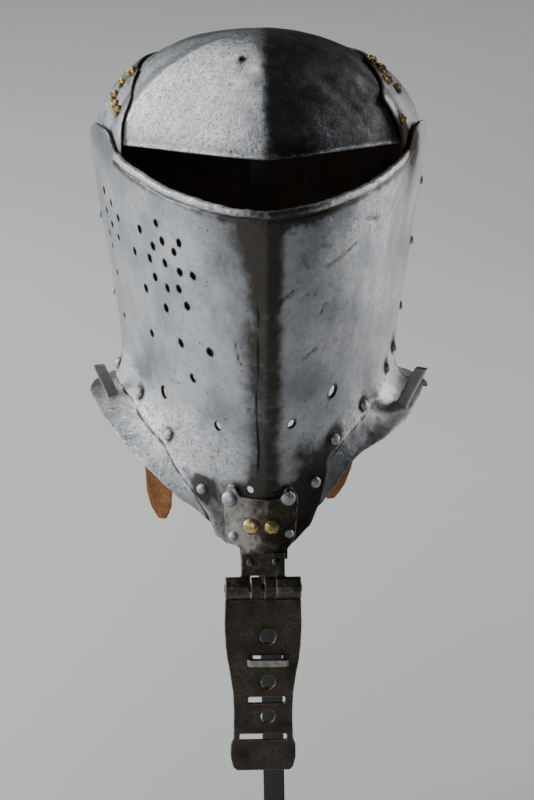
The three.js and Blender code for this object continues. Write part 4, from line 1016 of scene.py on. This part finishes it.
def head_tree():
    """Geometry Nodes: a domed head on every point, turned to face its way; petals make it a rosette."""
    tree = bpy.data.node_groups.new("rivet_heads", "GeometryNodeTree")
    kinds = dict(Seats="Geometry", **dict.fromkeys(HEAD_SIZES, "Float"), Seed="Int", Finish="Material")
    ids = {name: tree.interface.new_socket(name, in_out="INPUT", socket_type=f"NodeSocket{kind}").identifier
           for name, kind in kinds.items()}
    tree.interface.new_socket("Heads", in_out="OUTPUT", socket_type="NodeSocketGeometry")
    t = Nodes(tree)
    given = t.node("NodeGroupInput").outputs
    ball = t.out("GeometryNodeMeshUVSphere", {"Segments": 36, "Rings": 16, "Radius": 1})
    place = t.out("GeometryNodeInputPosition")
    x, y, z = t.node("ShaderNodeSeparateXYZ", {0: place}).outputs
    reach = t.sums("SQRT", t.plus(t.times(x, x), t.times(y, y)))
    wave = t.sums("COSINE", t.times(t.sums("ARCTAN2", y, x), PETALS))
    wave = t.minus(0.5, t.times(wave, 0.5))
    dip = t.times(wave, reach, given["Petal Depth"])
    side = t.times(t.minus(1, dip), given["Head Radius"])
    dome = t.sums("POWER", t.most(z, 0), 0.75)
    dome = t.times(dome, t.minus(1, t.times(dip, 1.6)))
    ring = t.times(t.minus(reach, 0.42), 6)
    ring = t.sums("EXPONENT", t.times(ring, ring, -1))
    dome = t.minus(dome, t.times(ring, given["Petal Depth"], 0.9))
    foot = t.times(t.sums("MINIMUM", z, 0), 0.25)
    up = t.times(t.plus(dome, foot), given["Head Height"])
    shaped = t.node("ShaderNodeCombineXYZ", {0: t.times(x, side), 1: t.times(y, side), 2: up})
    head = t.out("GeometryNodeSetPosition", {"Geometry": ball, "Position": shaped.outputs[0]})
    facing = t.node("GeometryNodeInputNamedAttribute", {"Name": "facing"}, data_type="FLOAT_VECTOR")
    turned = t.out("FunctionNodeAlignRotationToVector", {"Vector": facing.outputs[0]}, axis="Z")
    spin, size = (t.node("FunctionNodeRandomValue", {2: low, 3: high, "Seed": given["Seed"]},
                         data_type="FLOAT").outputs[1] for low, high in ((0, 6.28), (0.92, 1.06)))
    about = t.out("FunctionNodeAxisAngleToRotation", {"Axis": (0, 0, 1), "Angle": spin})
    turned = t.out("FunctionNodeRotateRotation", {0: turned, 1: about}, rotation_space="LOCAL")
    heads = t.out("GeometryNodeInstanceOnPoints",
                  {"Points": given["Seats"], "Instance": head, "Rotation": turned, "Scale": size})
    heads = t.out("GeometryNodeRealizeInstances", {"Geometry": heads})
    rough = t.node("ShaderNodeTexNoise", {"Scale": 320, "Detail": 2}).outputs["Fac"]
    rough = t.times(t.minus(rough, 0.5), given["Unevenness"])
    way = t.out("GeometryNodeInputNormal")
    shift = t.out("ShaderNodeVectorMath", {0: way, "Scale": rough}, operation="SCALE")
    heads = t.out("GeometryNodeSetPosition", {"Geometry": heads, "Offset": shift})
    heads = t.out("GeometryNodeSetMaterial", {"Geometry": heads, "Material": given["Finish"]})
    t.join(heads, t.node("NodeGroupOutput").inputs[0])
    return tree, ids


HEAD_TREE, HEAD_INPUTS = head_tree()


def heads(name, points, normal, slot, nodes, seed, sizes, tarnish=0.32):
    """Rivet heads or rosettes at these places, as one piece; sizes are in mm, the petals' depth a share."""
    mesh = bpy.data.meshes.new(name)
    mesh.from_pydata(placed(points).tolist(), [], [])
    facing = mesh.attributes.new("facing", "FLOAT_VECTOR", "POINT")
    facing.data.foreach_set("vector", normal.astype(np.float32).ravel())
    piece = linked(name, mesh)
    made = piece.modifiers.new("heads", "NODES")
    made.node_group = HEAD_TREE
    radius, height, petal_depth, uneven = sizes
    values = (radius * MM, height * MM, petal_depth, uneven * MM, seed, FINISHES[slot])
    for size, value in zip((*HEAD_SIZES, "Seed", "Finish"), values):
        made[HEAD_INPUTS[size]] = value
    settle(piece)
    shade(piece, 50)
    paint(piece, tarnish=tarnish + 0.2 * lumps(helm_points(piece), 51, 12, 3), wear=0.75)
    dress(piece, slot, *nodes)


def on_bracket(places):
    points, normal = front(*columns(places))
    return points + normal * BRACKET_LIFT, normal


def rivets():
    steel, brass = dict(slot="steel_plate", tarnish=0.1), dict(slot="brass")
    for name, seats, kind, seed, sizes in (
        ("collar_rivets", framed(wall, *columns(COLLAR_RIVETS)), steel, 2, (4.4, 3.6, 0, 0.3)),
        ("seam_rivets", framed(wall, *columns(SEAM_RIVETS)), steel, 3, (3.4, 2.6, 0, 0.3)),
        ("rosettes", on_band(*columns(ROSETTES)), brass, 4, (4.9, 4.2, 0.3, 2.4)),
        ("bracket_rivets_upper", on_bracket(BIG_RIVETS), steel, 20, (6, 4.8, 0, 0.3)),
        ("bracket_rivets_lower", on_bracket(SMALL_RIVETS), steel, 20, (3.6, 2.8, 0, 0.3)),
        ("brass_rivets", on_bracket(BRASS_RIVETS), brass, 12, (6.2, 3.4, 0, 0.3)),
    ):
        start = name.replace("rivets", "rivet").replace("rosettes", "rosette")
        nodes = sorted(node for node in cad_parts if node.startswith(start))
        heads(name, *seats, nodes=nodes, seed=seed, sizes=sizes, **kind)


# Straps and stand

def strap(side):
    """Old leather strap end: rounded and wrinkled."""
    name = f"leather_strap_{side}"
    piece = worked_copy(name, voxel=0.7, relax=10, rough=0.45, seed=61)
    dress(piece, "leather", name)


def display_stand():
    """Round foot, square post and pad, with softened edges."""
    piece = node_copy("display_stand")
    edge = piece.modifiers.new("edge", "BEVEL")
    edge.width, edge.segments = 1.2 * MM, 3
    edge.limit_method, edge.angle_limit = "ANGLE", math.radians(40)
    settle(piece)
    shade(piece, 30)
    dress(piece, "stand", "display_stand")


# Studio

def aimed(made, place, target):
    """Puts a light or a camera in its place, looking at its target."""
    made.location = place
    made.rotation_mode = "QUATERNION"
    made.rotation_quaternion = (target - place).to_track_quat("-Z", "Y")
    return made


def studio():
    """Pale floor, soft lights and the photograph's camera."""
    bpy.ops.mesh.primitive_plane_add(size=FLOOR_SIZE, location=(0, 0, FLOOR_Z))
    floor = bpy.context.object
    floor.name = "floor"
    f = Finish("pale_floor")
    colour = f.blend(f.noise(900, 4, 0.5), (0.72, 0.72, 0.72), (0.77, 0.77, 0.76))
    floor.data.materials.append(f.surface(base_color=colour, roughness=0.8))
    scene = bpy.context.scene
    scene.world = scene.world or bpy.data.worlds.new("studio")
    scene.world.use_nodes = True
    sky = scene.world.node_tree.nodes["Background"]
    sky.inputs["Color"].default_value = SKY_COLOUR
    sky.inputs["Strength"].default_value = SKY_STRENGTH
    for name, place, aim, size, power, colour, mirrored in LIGHTS:
        light = bpy.data.lights.new(name, "AREA")
        light.shape, light.size, light.size_y = "RECTANGLE", *size
        light.energy, light.color = power, colour
        lamp = aimed(linked(name, light), Vector(place), Vector(aim))
        lamp.visible_camera, lamp.visible_glossy = False, mirrored
    eye = bpy.data.cameras.new("photo_camera")
    eye.sensor_width = SENSOR
    eye.lens = FOCAL_PIXELS * SENSOR / PHOTO_TALL
    level = math.cos(CAMERA_ELEVATION)
    back = Vector((math.sin(CAMERA_AZIMUTH) * level, -math.cos(CAMERA_AZIMUTH) * level,
                   math.sin(CAMERA_ELEVATION)))
    place = CAMERA_TARGET + back * CAMERA_DISTANCE
    scene.camera = aimed(linked("photo_camera", eye), place, CAMERA_TARGET)


studio()
face_plate()
skull_plate()
back_plate()
collar("right", -1)
collar("left", 1)
hinge_bracket()
forged("hinge_leaf", rust=0.2, shine=0.3)
forged("hinge_pin", rust=0.3, voxel=0.4)
forged("hasp_plate", rust=0.14, shine=0.2, body="hasp")
forged("hasp_staple", rust=0, shine=0.75, voxel=0.4, body="hasp")
for side in ("right", "left"):
    forged(f"strap_lug_{side}", rust=0.12, shine=0.95, voxel=0.5)
    forged(f"leaf_rivet_{side}", rust=0.1, shine=0.35, voxel=0.3)
    strap(side)
rivets()
display_stand()
